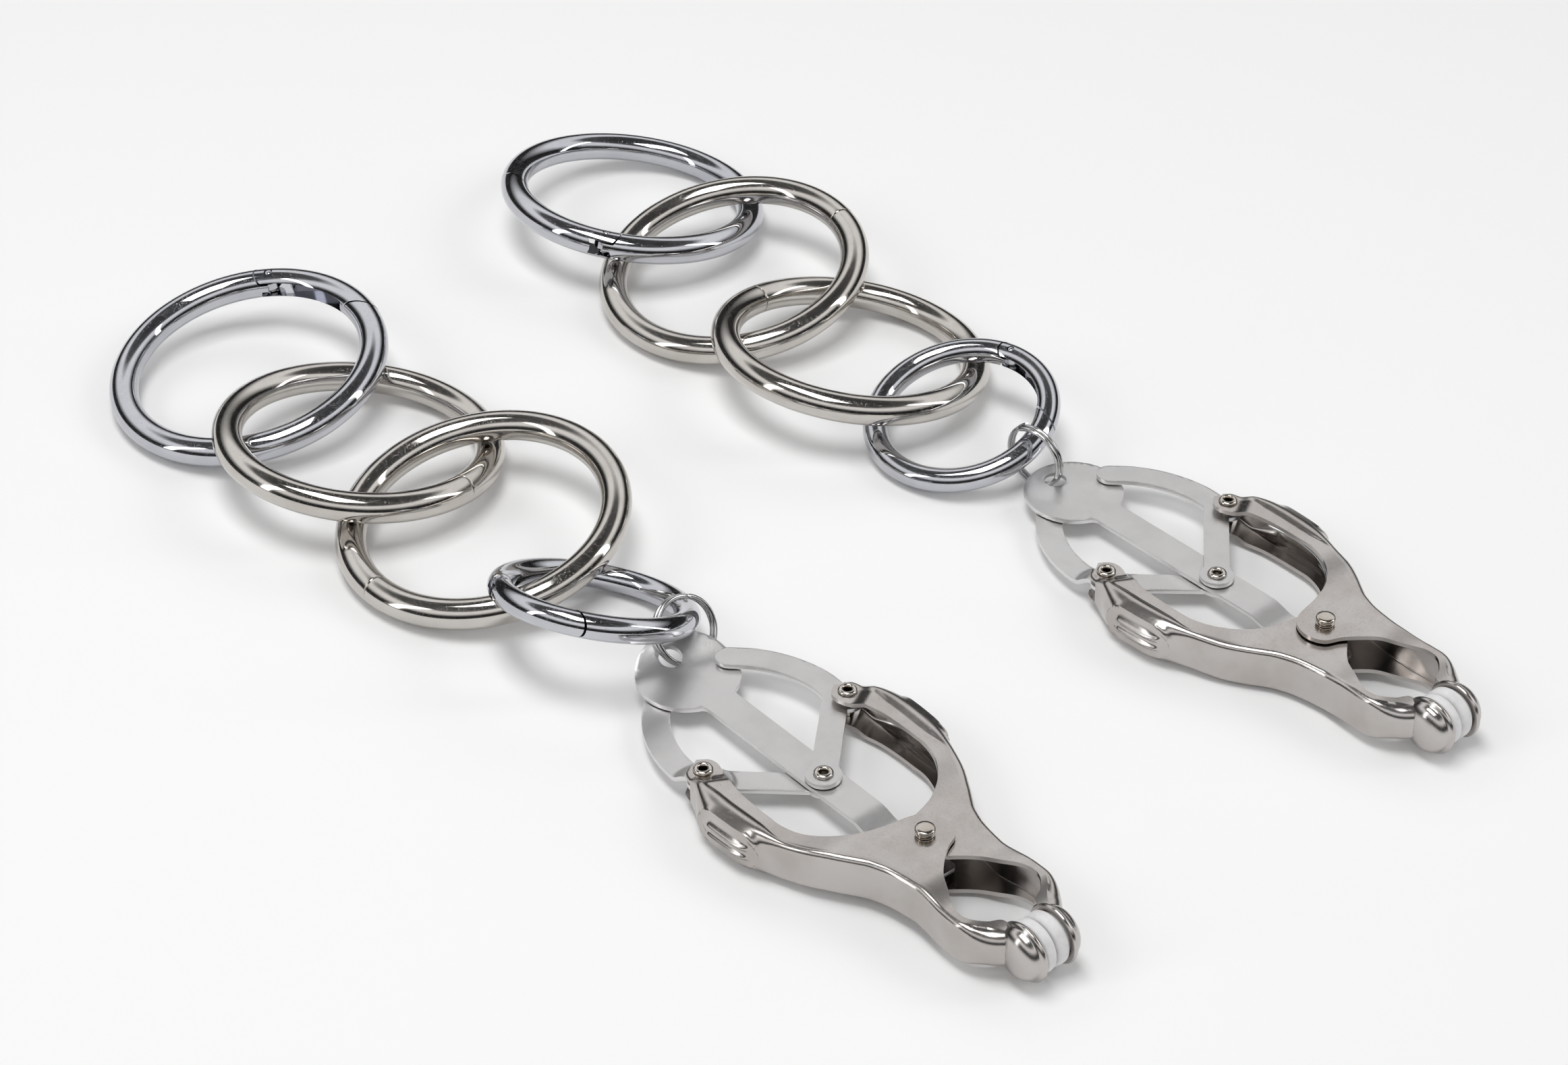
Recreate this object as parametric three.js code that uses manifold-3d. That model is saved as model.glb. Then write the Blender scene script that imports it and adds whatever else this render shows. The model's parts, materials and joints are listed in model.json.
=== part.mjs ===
// A matched pair of squeeze clamps, each trailing a chain of linked rings.
// Units are millimetres, +Z is up. Each clamp lies along Y with its jaws towards -Y and
// its rings towards +Y. The origin is the middle of the pair's footprint, on the surface.
import * as THREE from 'three';
import { mergeVertices } from 'three/addons/utils/BufferGeometryUtils.js';
import Module from 'manifold-3d';

const wasm = await Module();
wasm.setup();

// ---------------------------------------------------------------- driving dimensions

const SHEET = 0.7;              // thickness of every stamped sheet piece
const REST_GAP = 0.3;           // between stacked pieces that move on each other
const RUN_GAP = 0.09;           // radial, pin in hole
const LOOSE_GAP = 0.45;         // radial, link holes round the centre rivet
const CHAIN_GAP = 0.5;          // between two ring wires where they cross

// clamp, seen from its pivot
const PIVOT_R = 1.3;            // shaft of the pivot pin
const PIVOT_END_R = 1.5;        // its bright end
const PIVOT_END_H = 1.3;        // how far the end stands proud
const PIVOT_FOOT_R = 2.0;       // flat head underneath
const PIVOT_FOOT_H = 0.35;
const PIVOT_HALF = 4.05;        // outer face of the outer ears above the middle plane
const HANDLE_HALF = 3.4;        // half height of the lever channel along the grips
const JAW_HALF = 3.5;           // half height of the channel behind the jaws
const EAR_HALF = 2.45;          // half height across the rear ears
const EAR_R = 4.3;              // round end of a lever round the pivot
const WALL_END_Y = 32.2;         // the channel's side wall stops here, so the link can pass
const RIVET_X = 13.86;          // lever rivets
const RIVET_Y = 32.73;
const CENTRE_Y = 22.05;         // centre rivet
const JAW_Y = -23.5;            // middle of the jaw cups
const OPENING_DEG = 10;         // how far each lever turns to open the jaws
const CUP_R = 4.5;
const CUP_DEPTH = 2.9;
const PAD_R = 4.1;
const PAD_HALF = 2.3;           // how far a pad stands out of its cup
const CLAMP_PITCH_DEG = 1.1;    // the clamp rests with its handles lower than its jaws

// links, plate, rivets
const LINK_WIDTH = 4.0;
const TAIL_WIDTH = 4.3;
const CENTRE_BOSS_R = 2.75;
const LEVER_BOSS_R = 2.5;
const PLATE_WIDTH = 5.6;
const PLATE_BOTTOM = -0.7;      // underside of the pull plate's rear part
const PLATE_STEP = 1.0;         // its front part is stepped down by this
const TAB_R = 8.1;
const TAB_Y = 53.6;
const TAB_HOLE_Y = 57.9;
const TAB_HOLE_R = 1.85;
const LINK_GAP = 0.2;           // between the plate and each link
const LINK_LIFT = 1.6;          // joggle of the lower link up to its ear
const RIVET_BORE_R = 0.68;
const RIVET_SHANK_R = 0.95;
const RIVET_HEAD_R = 1.5;
const RIVET_HEAD_H = 0.55;

// torsion spring
const SPRING_WIRE = 0.75;
const SPRING_TURNS = 2.5;        // a half turn over, so its legs leave on opposite sides
const SPRING_LEG_REACH = 24.5;

// rings
const O_WIRE = 5.0;
const O_INNER = 38;             // inner diameters
const LARGE_WIRE = 4.9;
const LARGE_INNER = 38.1;
const SMALL_WIRE = 4.05;
const SMALL_INNER = 25.15;
const SPLIT_WIRE = 0.75;
const SPLIT_MEAN_R = 5.25;
const SPLIT_TURNS = 2;
const GATE_WALL = 0.7;          // sheet of the hollow gate
const TONGUE_SHARE = 0.45;      // tongue thickness as a share of the wire
const GATE_PIN_SHARE = 0.13;    // pin radius as a share of the wire

// how the two chains lie, angles in degrees
const CHAINS = [
  {
    prefix: 'a_', x: -37.6, y: -74.5, yaw: -0.6, upperLever: 'left', tabCurl: 2.2,
    smallRing: [-2.7, 72.2], smallPitch: 11, side: 1,
    laps: [5.8, 12.85, 12.95], headings: [2.3, -5.7, -3.2],
    split: { heading: 4, rise: 33, lean: 31 },
    smallGate: { hinge: 152.5, span: 66, turned: false },
    largeGate: { hinge: 45, span: 55, turned: true },
    seams: [180.5, 285.5],
  },
  {
    prefix: 'b_', x: 40.5, y: -79.2, yaw: 0.6, upperLever: 'right', tabCurl: 0,
    smallRing: [-2.5, 78.4], smallPitch: 0, side: -1,
    laps: [10.25, 10.8, 12.9], headings: [-3.7, 1.8, 2.5],
    split: { heading: 96, rise: 35, lean: 0 },
    smallGate: { hinge: 9.5, span: 67, turned: true },
    largeGate: { hinge: 218, span: 72, turned: true },
    seams: [98, 345.5],
  },
];

// ---------------------------------------------------------------- finishes

const finish = (colour, roughness, metalness) => ({ color: colour, roughness, metalness });
const FINISHES = {
  lever: finish('#b9b4ae', 0.34, 1),
  sheet: finish('#b4b3b4', 0.4, 1),
  nickel: finish('#b8b4a8', 0.16, 1),
  chrome: finish('#b7bac2', 0.1, 1),
  rivet: finish('#c0b8ac', 0.22, 1),
  spring: finish('#a9a9ab', 0.25, 1),
  rubber: finish('#eceaea', 0.6, 0),
};

// ---------------------------------------------------------------- solid helpers

const DEG = Math.PI / 180;

function solidOf(geometry) {
  const bare = geometry.clone();
  bare.deleteAttribute('normal');
  bare.deleteAttribute('uv');
  const merged = mergeVertices(bare, 1e-4);
  return new wasm.Manifold(new wasm.Mesh({
    numProp: 3,
    vertProperties: new Float32Array(merged.attributes.position.array),
    triVerts: new Uint32Array(merged.index.array),
  }));
}

function geometryOf(solid) {
  const mesh = solid.getMesh();
  const geometry = new THREE.BufferGeometry();
  geometry.setAttribute('position', new THREE.BufferAttribute(new Float32Array(mesh.vertProperties), 3));
  geometry.setIndex(new THREE.BufferAttribute(new Uint32Array(mesh.triVerts), 1));
  return geometry;
}

/** Upright prism of a plan outline, between two heights. */
function prism(outline, low, high) {
  const shape = outline instanceof THREE.Shape ? outline : new THREE.Shape(outline);
  const geometry = new THREE.ExtrudeGeometry(shape, {
    depth: high - low, bevelEnabled: false, curveSegments: 12,
  });
  return solidOf(geometry.translate(0, 0, low));
}

/** Prism of an outline drawn in Y and Z, running along X between two values. */
function sidePrism(outline, from, to) {
  const geometry = new THREE.ExtrudeGeometry(new THREE.Shape(outline), {
    depth: to - from, bevelEnabled: false,
  });
  const turn = new THREE.Matrix4().makeBasis(
    new THREE.Vector3(0, 1, 0), new THREE.Vector3(0, 0, 1), new THREE.Vector3(1, 0, 0),
  );
  return solidOf(geometry.applyMatrix4(turn).translate(from, 0, 0));
}

function disc(x, y, radius, low, high, segments = 20) {
  const geometry = new THREE.CylinderGeometry(radius, radius, high - low, segments);
  return solidOf(geometry.rotateX(Math.PI / 2).translate(x, y, (low + high) / 2));
}

/** Solid of revolution about Z of [radius, height] pairs. */
function turned(profile, segments = 16) {
  const points = profile.map(([radius, height]) => new THREE.Vector2(radius, height));
  return solidOf(new THREE.LatheGeometry(points, segments).rotateX(Math.PI / 2));
}

/** Outline of a strip of the given width round a line of points, with round ends. */
function strip(points, width) {
  const line = points.map(([x, y]) => new THREE.Vector2(x, y));
  const half = width / 2;
  const sideOf = (sign) => line.map((point, index) => {
    const before = line[Math.max(index - 1, 0)];
    const after = line[Math.min(index + 1, line.length - 1)];
    const along = after.clone().sub(before).normalize();
    return new THREE.Vector2(point.x - sign * along.y * half, point.y + sign * along.x * half);
  });
  const cap = (centre, from) => [30, 60, 90, 120, 150].map((angle) => {
    const spoke = from.clone().sub(centre).rotateAround(new THREE.Vector2(), -angle * DEG);
    return spoke.add(centre);
  });
  const left = sideOf(1);
  const right = sideOf(-1).reverse();
  return [...left, ...cap(line.at(-1), left.at(-1)), ...right, ...cap(line[0], right.at(-1))];
}

/** The same line moved sideways; positive is to its left. */
function offsetLine(points, distance) {
  return points.map(([x, y], index) => {
    const [bx, by] = points[Math.max(index - 1, 0)];
    const [ax, ay] = points[Math.min(index + 1, points.length - 1)];
    const length = Math.hypot(ax - bx, ay - by);
    return [x - ((ay - by) / length) * distance, y + ((ax - bx) / length) * distance];
  });
}

function arcPoints(radius, from, to, steps) {
  return Array.from({ length: steps + 1 }, (_, index) => {
    const angle = (from + ((to - from) * index) / steps) * DEG;
    return [radius * Math.cos(angle), radius * Math.sin(angle)];
  });
}

const vectors = (points) => points.map(([x, y]) => new THREE.Vector2(x, y));
const mirrored = (points, side) => points.map(([x, y]) => [x * side, y]);

function wire(curve, diameter, sides, steps) {
  const section = new THREE.Shape(vectors(
    arcPoints(diameter / 2, 0, 360, sides).slice(0, sides),
  ));
  return new THREE.ExtrudeGeometry(section, { steps, extrudePath: curve, bevelEnabled: false });
}

function addPiece(parent, name, geometry, look) {
  const mesh = new THREE.Mesh(geometry, new THREE.MeshStandardMaterial(FINISHES[look]));
  mesh.name = name;
  parent.add(mesh);
  return mesh;
}

// ---------------------------------------------------------------- clamp levers

// plan of a left-hand lever, its pivot at the origin
const LEVER_OUTER = [
  [-16.2, 35.6], [-17.2, 30.5], [-18.0, 25], [-17.9, 19], [-16.9, 13.3], [-15.1, 8.4],
  [-12.7, 4.4], [-10.4, 0.8], [-9.0, -3], [-8.4, -7.5], [-8.7, -12], [-8.8, -15.8],
  [-8.1, -18.8], [-6.6, -21.2], [-4.6, -23],
];
const LEVER_FRONT_EDGE = [
  [-3.0, -22], [-3.0, -19.2], [-5.0, -18.3], [-6.6, -16.6], [-7.0, -14.8], [-6.5, -12.9],
  [-5.0, -10.5], [-3.2, -8],
];
const LEVER_REAR_EDGE = [
  [-3.2, 5.0], [-7.0, 6.3], [-10.2, 8.6], [-12.7, 11.8], [-13.8, 15.5], [-13.8, 20],
  [-13.6, 25], [-12.6, 29],
];

function leverPlan(side) {
  const pivotEnd = arcPoints(EAR_R, -84, 76, 8);
  const rearEar = arcPoints(LEVER_BOSS_R, -62, 74, 4).map(([x, y]) => [x - RIVET_X, y + RIVET_Y]);
  const outline = [...LEVER_OUTER, ...LEVER_FRONT_EDGE, ...pivotEnd, ...LEVER_REAR_EDGE, ...rearEar];
  return vectors(mirrored(outline, side));
}

/** Side view of a lever channel: [y, height] along its top, then back along its bottom. */
function leverProfile(top, bottom, wall) {
  const along = (sign, pivotHeight) => [
    [40, EAR_HALF], [30.5, EAR_HALF], [27.5, HANDLE_HALF], [13, HANDLE_HALF], [5.5, pivotHeight],
    [-6, pivotHeight], [-13, JAW_HALF], [-30, JAW_HALF],
  ].map(([y, height]) => new THREE.Vector2(y, sign * (height - wall)));
  return [...along(1, top), ...along(-1, bottom).reverse()];
}

function cupSolid(radius, depth) {
  const profile = [
    [0, 0], [radius, 0], [radius, 0.2 * depth], [0.9 * radius, 0.6 * depth],
    [0.66 * radius, 0.86 * depth], [0.33 * radius, 0.97 * depth], [0, depth],
  ];
  return turned(profile, 20);
}

/** A lever: side is 1 for the left one, -1 for the right; its upper ear is outer or inner. */
function lever(side, upperIsOuter) {
  const inner = PIVOT_HALF - SHEET - REST_GAP;
  const top = upperIsOuter ? PIVOT_HALF : inner;
  const bottom = upperIsOuter ? inner : PIVOT_HALF;
  const reach = 40;
  const skin = prism(leverPlan(side), -reach, reach)
    .intersect(sidePrism(leverProfile(top, bottom, 0), -reach, reach));
  const wallLine = offsetLine(LEVER_OUTER, SHEET).slice(1);
  const hollowPlan = [
    ...wallLine, [-4.6, -30], [reach, -30], [reach, reach], [-reach, reach], [-reach, WALL_END_Y],
    [wallLine[0][0], WALL_END_Y],
  ];
  const hollow = prism(vectors(mirrored(hollowPlan, side)), -reach, reach)
    .intersect(sidePrism(leverProfile(top, bottom, SHEET), -reach, reach));
  const faceOn = (solid, x) => solid.rotate([0, -90 * side, 0]).translate([-x * side, JAW_Y, 0]);
  const rim = PAD_HALF + REST_GAP / 2;
  const cup = faceOn(cupSolid(CUP_R, CUP_DEPTH), rim);
  const cavity = faceOn(cupSolid(CUP_R - SHEET, CUP_DEPTH - SHEET), rim);
  const mouth = faceOn(turned([[0, 0], [CUP_R + 1, 0], [CUP_R + 1, -8], [0, -8]].reverse(), 20), rim);
  return skin.subtract(hollow).add(cup).subtract(cavity).subtract(mouth)
    .subtract(disc(0, 0, PIVOT_R + RUN_GAP, -reach, reach))
    .subtract(disc(-RIVET_X * side, RIVET_Y, RIVET_SHANK_R + RUN_GAP, -reach, reach, 12));
}

function pad(side) {
  const plug = CUP_R - SHEET - REST_GAP;
  const rim = PAD_HALF + REST_GAP / 2;
  const profile = [
    [0, REST_GAP / 2], [PAD_R - 0.4, REST_GAP / 2], [PAD_R, 0.6], [PAD_R, rim - REST_GAP],
    [plug, rim - REST_GAP], [plug, rim + 0.1 * CUP_DEPTH], [0, rim + 0.1 * CUP_DEPTH],
  ];
  return turned(profile, 20).rotate([0, -90 * side, 0]).translate([0, JAW_Y, 0]);
}

// ---------------------------------------------------------------- pivot, spring, rivets

function pivotPin() {
  const foot = PIVOT_HALF + RUN_GAP;
  return turned([
    [0, -foot - PIVOT_FOOT_H], [PIVOT_FOOT_R, -foot - PIVOT_FOOT_H], [PIVOT_FOOT_R, -foot],
    [PIVOT_R, -foot], [PIVOT_R, foot], [PIVOT_END_R, foot],
    [PIVOT_END_R, PIVOT_HALF + PIVOT_END_H - 0.2], [PIVOT_END_R - 0.2, PIVOT_HALF + PIVOT_END_H],
    [0, PIVOT_HALF + PIVOT_END_H],
  ], 20);
}

/** Coil round the pivot with a leg lying inside each handle. */
function torsionSpring() {
  const coilR = PIVOT_R + REST_GAP + SPRING_WIRE;
  const pitch = SPRING_WIRE + 0.05;
  const low = PLATE_BOTTOM - PLATE_STEP + SHEET + REST_GAP + SPRING_WIRE / 2;
  const stepsPerTurn = 12;
  const count = SPRING_TURNS * stepsPerTurn;
  const legOf = (side, height) => [
    [side * (coilR + 0.9), 4.2], [side * (coilR + 5.2), 6.7], [side * 11.6, 9.6],
    [side * 14.2, 13.8], [side * 15.2, 19], [side * 14.8, SPRING_LEG_REACH],
  ].map(([x, y]) => new THREE.Vector3(x, y, height));
  const coil = Array.from({ length: count + 1 }, (_, index) => {
    const angle = (index / stepsPerTurn) * 360 * DEG + Math.PI;
    return new THREE.Vector3(
      coilR * Math.cos(angle), coilR * Math.sin(angle), low + (pitch * index) / stepsPerTurn,
    );
  });
  const path = new THREE.CatmullRomCurve3([
    ...legOf(-1, low).reverse(), ...coil, ...legOf(1, coil.at(-1).z),
  ], false, 'centripetal');
  return wire(path, SPRING_WIRE, 6, count + 20);
}

/** Hollow rivet standing along Z between two outer faces. */
function eyelet(low, high) {
  const head = RIVET_HEAD_R;
  const lip = RIVET_HEAD_H;
  return turned([
    [RIVET_BORE_R, low - lip], [head - 0.25, low - lip], [head, low - RUN_GAP],
    [RIVET_SHANK_R, low - RUN_GAP], [RIVET_SHANK_R, high + RUN_GAP], [head, high + RUN_GAP],
    [head - 0.25, high + lip], [RIVET_BORE_R, high + lip], [RIVET_BORE_R, low - lip],
  ], 12);
}

// ---------------------------------------------------------------- links and plate

const LINK_ELBOW = [13.5, 34.8];
const LINK_TAIL = [
  LINK_ELBOW, [13.7, 38.4], [13.1, 42.2], [11.7, 46], [9.6, 49.4], [6.9, 52.2],
];

/** A boomerang link: side is 1 for the right one; the lower one is joggled up to its ear. */
function link(side, low, lift) {
  const solidStrip = (points, width) => prism(strip(mirrored(points, side), width), low, low + SHEET);
  const whole = solidStrip([[0, CENTRE_Y], LINK_ELBOW], LINK_WIDTH)
    .add(solidStrip(LINK_TAIL, TAIL_WIDTH))
    .add(disc(0, CENTRE_Y, CENTRE_BOSS_R, low, low + SHEET))
    .add(disc(side * RIVET_X, RIVET_Y, LEVER_BOSS_R, low, low + SHEET, 16))
    .subtract(disc(0, CENTRE_Y, RIVET_SHANK_R + LOOSE_GAP, low - 1, low + 1 + SHEET, 12))
    .subtract(disc(side * RIVET_X, RIVET_Y, RIVET_SHANK_R + RUN_GAP, low - 1, low + 1 + SHEET, 12));
  if (lift === 0) {
    return geometryOf(whole);
  }
  const geometry = geometryOf(whole.refineToLength(3));
  const place = geometry.attributes.position;
  for (let index = 0; index < place.count; index += 1) {
    const away = Math.hypot(place.getX(index) - side * RIVET_X, place.getY(index) - RIVET_Y);
    place.setZ(index, place.getZ(index) + lift * (1 - THREE.MathUtils.smoothstep(away, 2.6, 5.4)));
  }
  return geometry;
}

/** How far the centre rivet moves towards the pivot while the levers open. */
function plateTravel() {
  const armLength = Math.hypot(RIVET_X, RIVET_Y);
  const linkLength = Math.hypot(RIVET_X, RIVET_Y - CENTRE_Y);
  const angle = Math.atan2(RIVET_X, RIVET_Y) - OPENING_DEG * DEG;
  const across = armLength * Math.sin(angle);
  return CENTRE_Y - (armLength * Math.cos(angle) - Math.sqrt(linkLength ** 2 - across ** 2));
}

/** Height of the pull plate's underside above the middle plane, at a distance from the pivot. */
function plateUnderside(y, curl) {
  const stepped = PLATE_BOTTOM - PLATE_STEP * (1 - THREE.MathUtils.clamp((y - 8.5) / 4, 0, 1));
  const curled = THREE.MathUtils.clamp((y - TAB_Y - 1) / (TAB_R - 1), 0, 1);
  return stepped + curl * curled ** 1.6;
}

function pullPlate(curl) {
  const stations = [-6, 8.5, 12.5, TAB_Y + 1];
  if (curl > 0) {
    stations.push(TAB_Y + 3, TAB_Y + 5, TAB_Y + 6.6);
  }
  stations.push(TAB_Y + TAB_R, TAB_Y + TAB_R + 1);
  const low = stations.map((y) => new THREE.Vector2(y, plateUnderside(y, curl)));
  const high = low.map((point) => new THREE.Vector2(point.x, point.y + SHEET)).reverse();
  const half = PLATE_WIDTH / 2;
  const frontEnd = -(PIVOT_R + RUN_GAP + 2.1);
  const bar = [[-half, frontEnd], [half, frontEnd], [half, TAB_Y], [-half, TAB_Y]];
  const slot = strip([[0, 0], [0, plateTravel() + REST_GAP]], 2 * (PIVOT_R + RUN_GAP));
  const reach = 20;
  return prism(vectors(bar), -reach, reach)
    .add(disc(0, TAB_Y, TAB_R, -reach, reach, 40))
    .intersect(sidePrism([...low, ...high], -reach, reach))
    .subtract(prism(slot, -reach, reach))
    .subtract(disc(0, CENTRE_Y, RIVET_SHANK_R + RUN_GAP, -reach, reach, 12))
    .subtract(disc(0, TAB_HOLE_Y, TAB_HOLE_R, -reach, reach, 20));
}

// ---------------------------------------------------------------- rings

const ringMeanR = (inner, diameter) => (inner + diameter) / 2;

function torus(meanR, diameter, sides = 10, steps = 40) {
  return solidOf(new THREE.TorusGeometry(meanR, diameter / 2, sides, steps));
}

/** Upright wedge of a ring's plane between two angles, out past its rim. */
function wedge(meanR, from, to, half, outer = 2 * meanR) {
  return prism(vectors([[0, 0], ...arcPoints(outer, from, to, 8)]), -half, half);
}

/** Everything on the gate's side of the slanting cut at its free end. */
function gateSide(meanR, span, shift) {
  const spot = new THREE.Vector2(meanR * Math.cos(span * DEG), meanR * Math.sin(span * DEG));
  const seam = (span + 45 + 90) * DEG;
  const along = new THREE.Vector2(Math.cos(seam - Math.PI / 2), Math.sin(seam - Math.PI / 2));
  const back = new THREE.Vector2(along.y, -along.x);
  const start = spot.clone().addScaledVector(back, -shift);
  const corner = (forward, inward) => start.clone()
    .addScaledVector(along, forward).addScaledVector(back, inward);
  const reach = 3 * meanR;
  const outline = [corner(-reach, 0), corner(reach, 0), corner(reach, reach), corner(-reach, reach)];
  return prism(outline, -reach, reach);
}

/** The four pieces of a spring-gate ring; its hinge is at angle 0 and its gate runs to span. */
function gateRingPieces(inner, diameter, span) {
  const meanR = ringMeanR(inner, diameter);
  const r = diameter / 2;
  const far = 3 * diameter;
  const pinR = GATE_PIN_SHARE * diameter;
  const tongueLow = -TONGUE_SHARE * r;
  const tongueHigh = 0.06 * r;
  const slotHalf = TONGUE_SHARE * r + REST_GAP;
  const whole = torus(meanR, diameter);
  const atHinge = (radius, low, high) => disc(meanR, 0, radius, low, high, 20);
  const over = 12;
  const gateZone = wedge(meanR, 0, span + over, far).intersect(gateSide(meanR, span, 0));
  const gateRoom = wedge(meanR, 0, span + over, far).intersect(gateSide(meanR, span, REST_GAP));
  const shoulder = ((r + REST_GAP + 1) / meanR) / DEG;
  const wholeSide = vectors([[0, -far], [2 * meanR, -far], [2 * meanR, far], [0, far]]);
  const tongue = whole
    .intersect(wedge(meanR, -shoulder, 0, far).add(atHinge(0.8 * r, -far, far)))
    .intersect(prism(wholeSide, tongueLow, tongueHigh));
  const body = whole.subtract(gateRoom).subtract(atHinge(r + REST_GAP, -far, far))
    .add(tongue).subtract(atHinge(pinR + RUN_GAP, -far, far));
  const hollow = wedge(meanR, -20, span - 9, slotHalf, meanR + r - GATE_WALL);
  const gate = whole.intersect(gateZone.add(atHinge(r, -far, far)))
    .subtract(hollow).subtract(atHinge(1.35 * r, -slotHalf, slotHalf))
    .subtract(atHinge(pinR + RUN_GAP, -far, far));
  const pin = turned([
    [0, -r], [0.8 * pinR, -r], [pinR, 0.2 - r], [pinR, r - 0.2], [0.8 * pinR, r], [0, r],
  ], 12).translate([meanR, 0, 0]);
  const coilLow = tongueHigh + 0.15;
  const coilR = pinR + RUN_GAP + 0.1;
  const spring = turned([
    [coilR, coilLow], [coilR + 0.5, coilLow], [coilR + 0.5, slotHalf - 0.15],
    [coilR, slotHalf - 0.15], [coilR, coilLow],
  ], 12).translate([meanR, 0, 0]);
  return { body, gate, pin, spring };
}

function splitRing() {
  const pitch = SPLIT_WIRE + 0.1;
  const steps = 22 * SPLIT_TURNS;
  const points = Array.from({ length: steps + 1 }, (_, index) => {
    const angle = ((index / steps) * SPLIT_TURNS * 360 + 60) * DEG;
    return new THREE.Vector3(
      SPLIT_MEAN_R * Math.cos(angle), SPLIT_MEAN_R * Math.sin(angle),
      pitch * SPLIT_TURNS * (index / steps - 0.5),
    );
  });
  return wire(new THREE.CatmullRomCurve3(points), SPLIT_WIRE, 6, steps);
}

// ---------------------------------------------------------------- layout of a chain

function ringSizes() {
  const size = (inner, diameter) => ({ meanR: ringMeanR(inner, diameter), wire: diameter });
  const plain = size(O_INNER, O_WIRE);
  return [size(SMALL_INNER, SMALL_WIRE), plain, plain, size(LARGE_INNER, LARGE_WIRE)];
}

/** Where two rings cross in plan: how far along from the first's centre, and how far across. */
function crossing(first, second, apart) {
  const along = (apart ** 2 + first.meanR ** 2 - second.meanR ** 2) / (2 * apart);
  return { along, across: Math.sqrt(first.meanR ** 2 - along ** 2) };
}

/** Height between two rings' middle lines that parts their wires where they cross. */
const heightNeeded = (first, second) => (first.wire + second.wire) / 2 + CHAIN_GAP;

/** A ring lying on the surface, tilted sideways by one slope and lengthways by another. */
function layRing(size, [x, y], sideways, lengthways) {
  const normal = new THREE.Vector3(sideways, lengthways, 1).normalize();
  const height = size.meanR * Math.sqrt(1 - normal.z ** 2) + size.wire / 2;
  return { ...size, normal, centre: new THREE.Vector3(x, y, height) };
}

/** Sideways slope of the small ring that parts it from the next one, whose slope is given. */
function smallRingSlope(small, next, apart, lengthways, nextSlope) {
  const { along, across } = crossing(small, next, apart);
  const nextHeight = layRing(next, [0, 0], nextSlope, 0).centre.z;
  let slope = nextSlope;
  for (let round = 0; round < 30; round += 1) {
    const height = layRing(small, [0, 0], slope, lengthways).centre.z - lengthways * along;
    const parted = across * (slope + nextSlope) - Math.abs(height - nextHeight);
    const needed = heightNeeded(small, next) * Math.hypot(1, slope) + REST_GAP;
    slope += (needed - parted) / (across + small.meanR);
  }
  return slope;
}

/** Places of the four rings from the clamp outwards, each linked with the next. */
function ringPlaces(chain) {
  const sizes = ringSizes();
  const apart = chain.laps.map((lap, index) => sizes[index].meanR + sizes[index + 1].meanR - lap);
  const spots = [[chain.x + chain.smallRing[0], chain.y + chain.smallRing[1]]];
  apart.forEach((distance, index) => {
    const heading = chain.headings[index] * DEG;
    const [x, y] = spots[index];
    spots.push([x + distance * Math.sin(heading), y + distance * Math.cos(heading)]);
  });
  const slope = Math.max(...[1, 2].map((index) => {
    const { across } = crossing(sizes[index], sizes[index + 1], apart[index]);
    return heightNeeded(sizes[index], sizes[index + 1]) / (2 * across);
  }));
  const lengthways = Math.tan(chain.smallPitch * DEG);
  const small = smallRingSlope(sizes[0], sizes[1], apart[0], lengthways, slope);
  return [
    layRing(sizes[0], spots[0], chain.side * small, lengthways),
    layRing(sizes[1], spots[1], -chain.side * slope, 0),
    layRing(sizes[2], spots[2], chain.side * slope, 0),
    layRing(sizes[3], spots[3], -chain.side * slope, 0),
  ];
}

function ringFrame(place, angle, flipped) {
  const frame = new THREE.Group();
  frame.position.copy(place.centre);
  frame.quaternion.setFromUnitVectors(new THREE.Vector3(0, 0, 1), place.normal);
  frame.rotateZ(angle * DEG);
  if (flipped) {
    frame.rotateX(Math.PI);
  }
  return frame;
}

// ---------------------------------------------------------------- assembly

function clampFrame(chain) {
  const frame = new THREE.Group();
  frame.position.set(chain.x, chain.y, PIVOT_HALF + RUN_GAP + PIVOT_FOOT_H);
  frame.rotation.set(-CLAMP_PITCH_DEG * DEG, 0, chain.yaw * DEG, 'ZYX');
  return frame;
}

function addClamp(parent, chain) {
  const add = (name, solid, look) => addPiece(parent, chain.prefix + name, geometryOf(solid), look);
  const leftIsUpper = chain.upperLever === 'left';
  const lowerLink = PLATE_BOTTOM - LINK_GAP - SHEET;
  const upperLink = PLATE_BOTTOM + SHEET + LINK_GAP;
  add('left_lever', lever(1, leftIsUpper), 'lever');
  add('right_lever', lever(-1, !leftIsUpper), 'lever');
  add('left_pad', pad(1), 'rubber');
  add('right_pad', pad(-1), 'rubber');
  add('pivot_pin', pivotPin(), 'rivet');
  addPiece(parent, `${chain.prefix}torsion_spring`, torsionSpring(), 'spring');
  add('pull_plate', pullPlate(chain.tabCurl), 'sheet');
  addPiece(parent, `${chain.prefix}left_link`, link(-1, lowerLink, LINK_LIFT), 'sheet');
  addPiece(parent, `${chain.prefix}right_link`, link(1, upperLink, 0), 'sheet');
  add('centre_rivet', eyelet(lowerLink, upperLink + SHEET).translate([0, CENTRE_Y, 0]), 'rivet');
  const leverRivet = eyelet(-EAR_HALF, EAR_HALF);
  add('left_rivet', leverRivet.translate([-RIVET_X, RIVET_Y, 0]), 'rivet');
  add('right_rivet', leverRivet.translate([RIVET_X, RIVET_Y, 0]), 'rivet');
}

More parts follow.
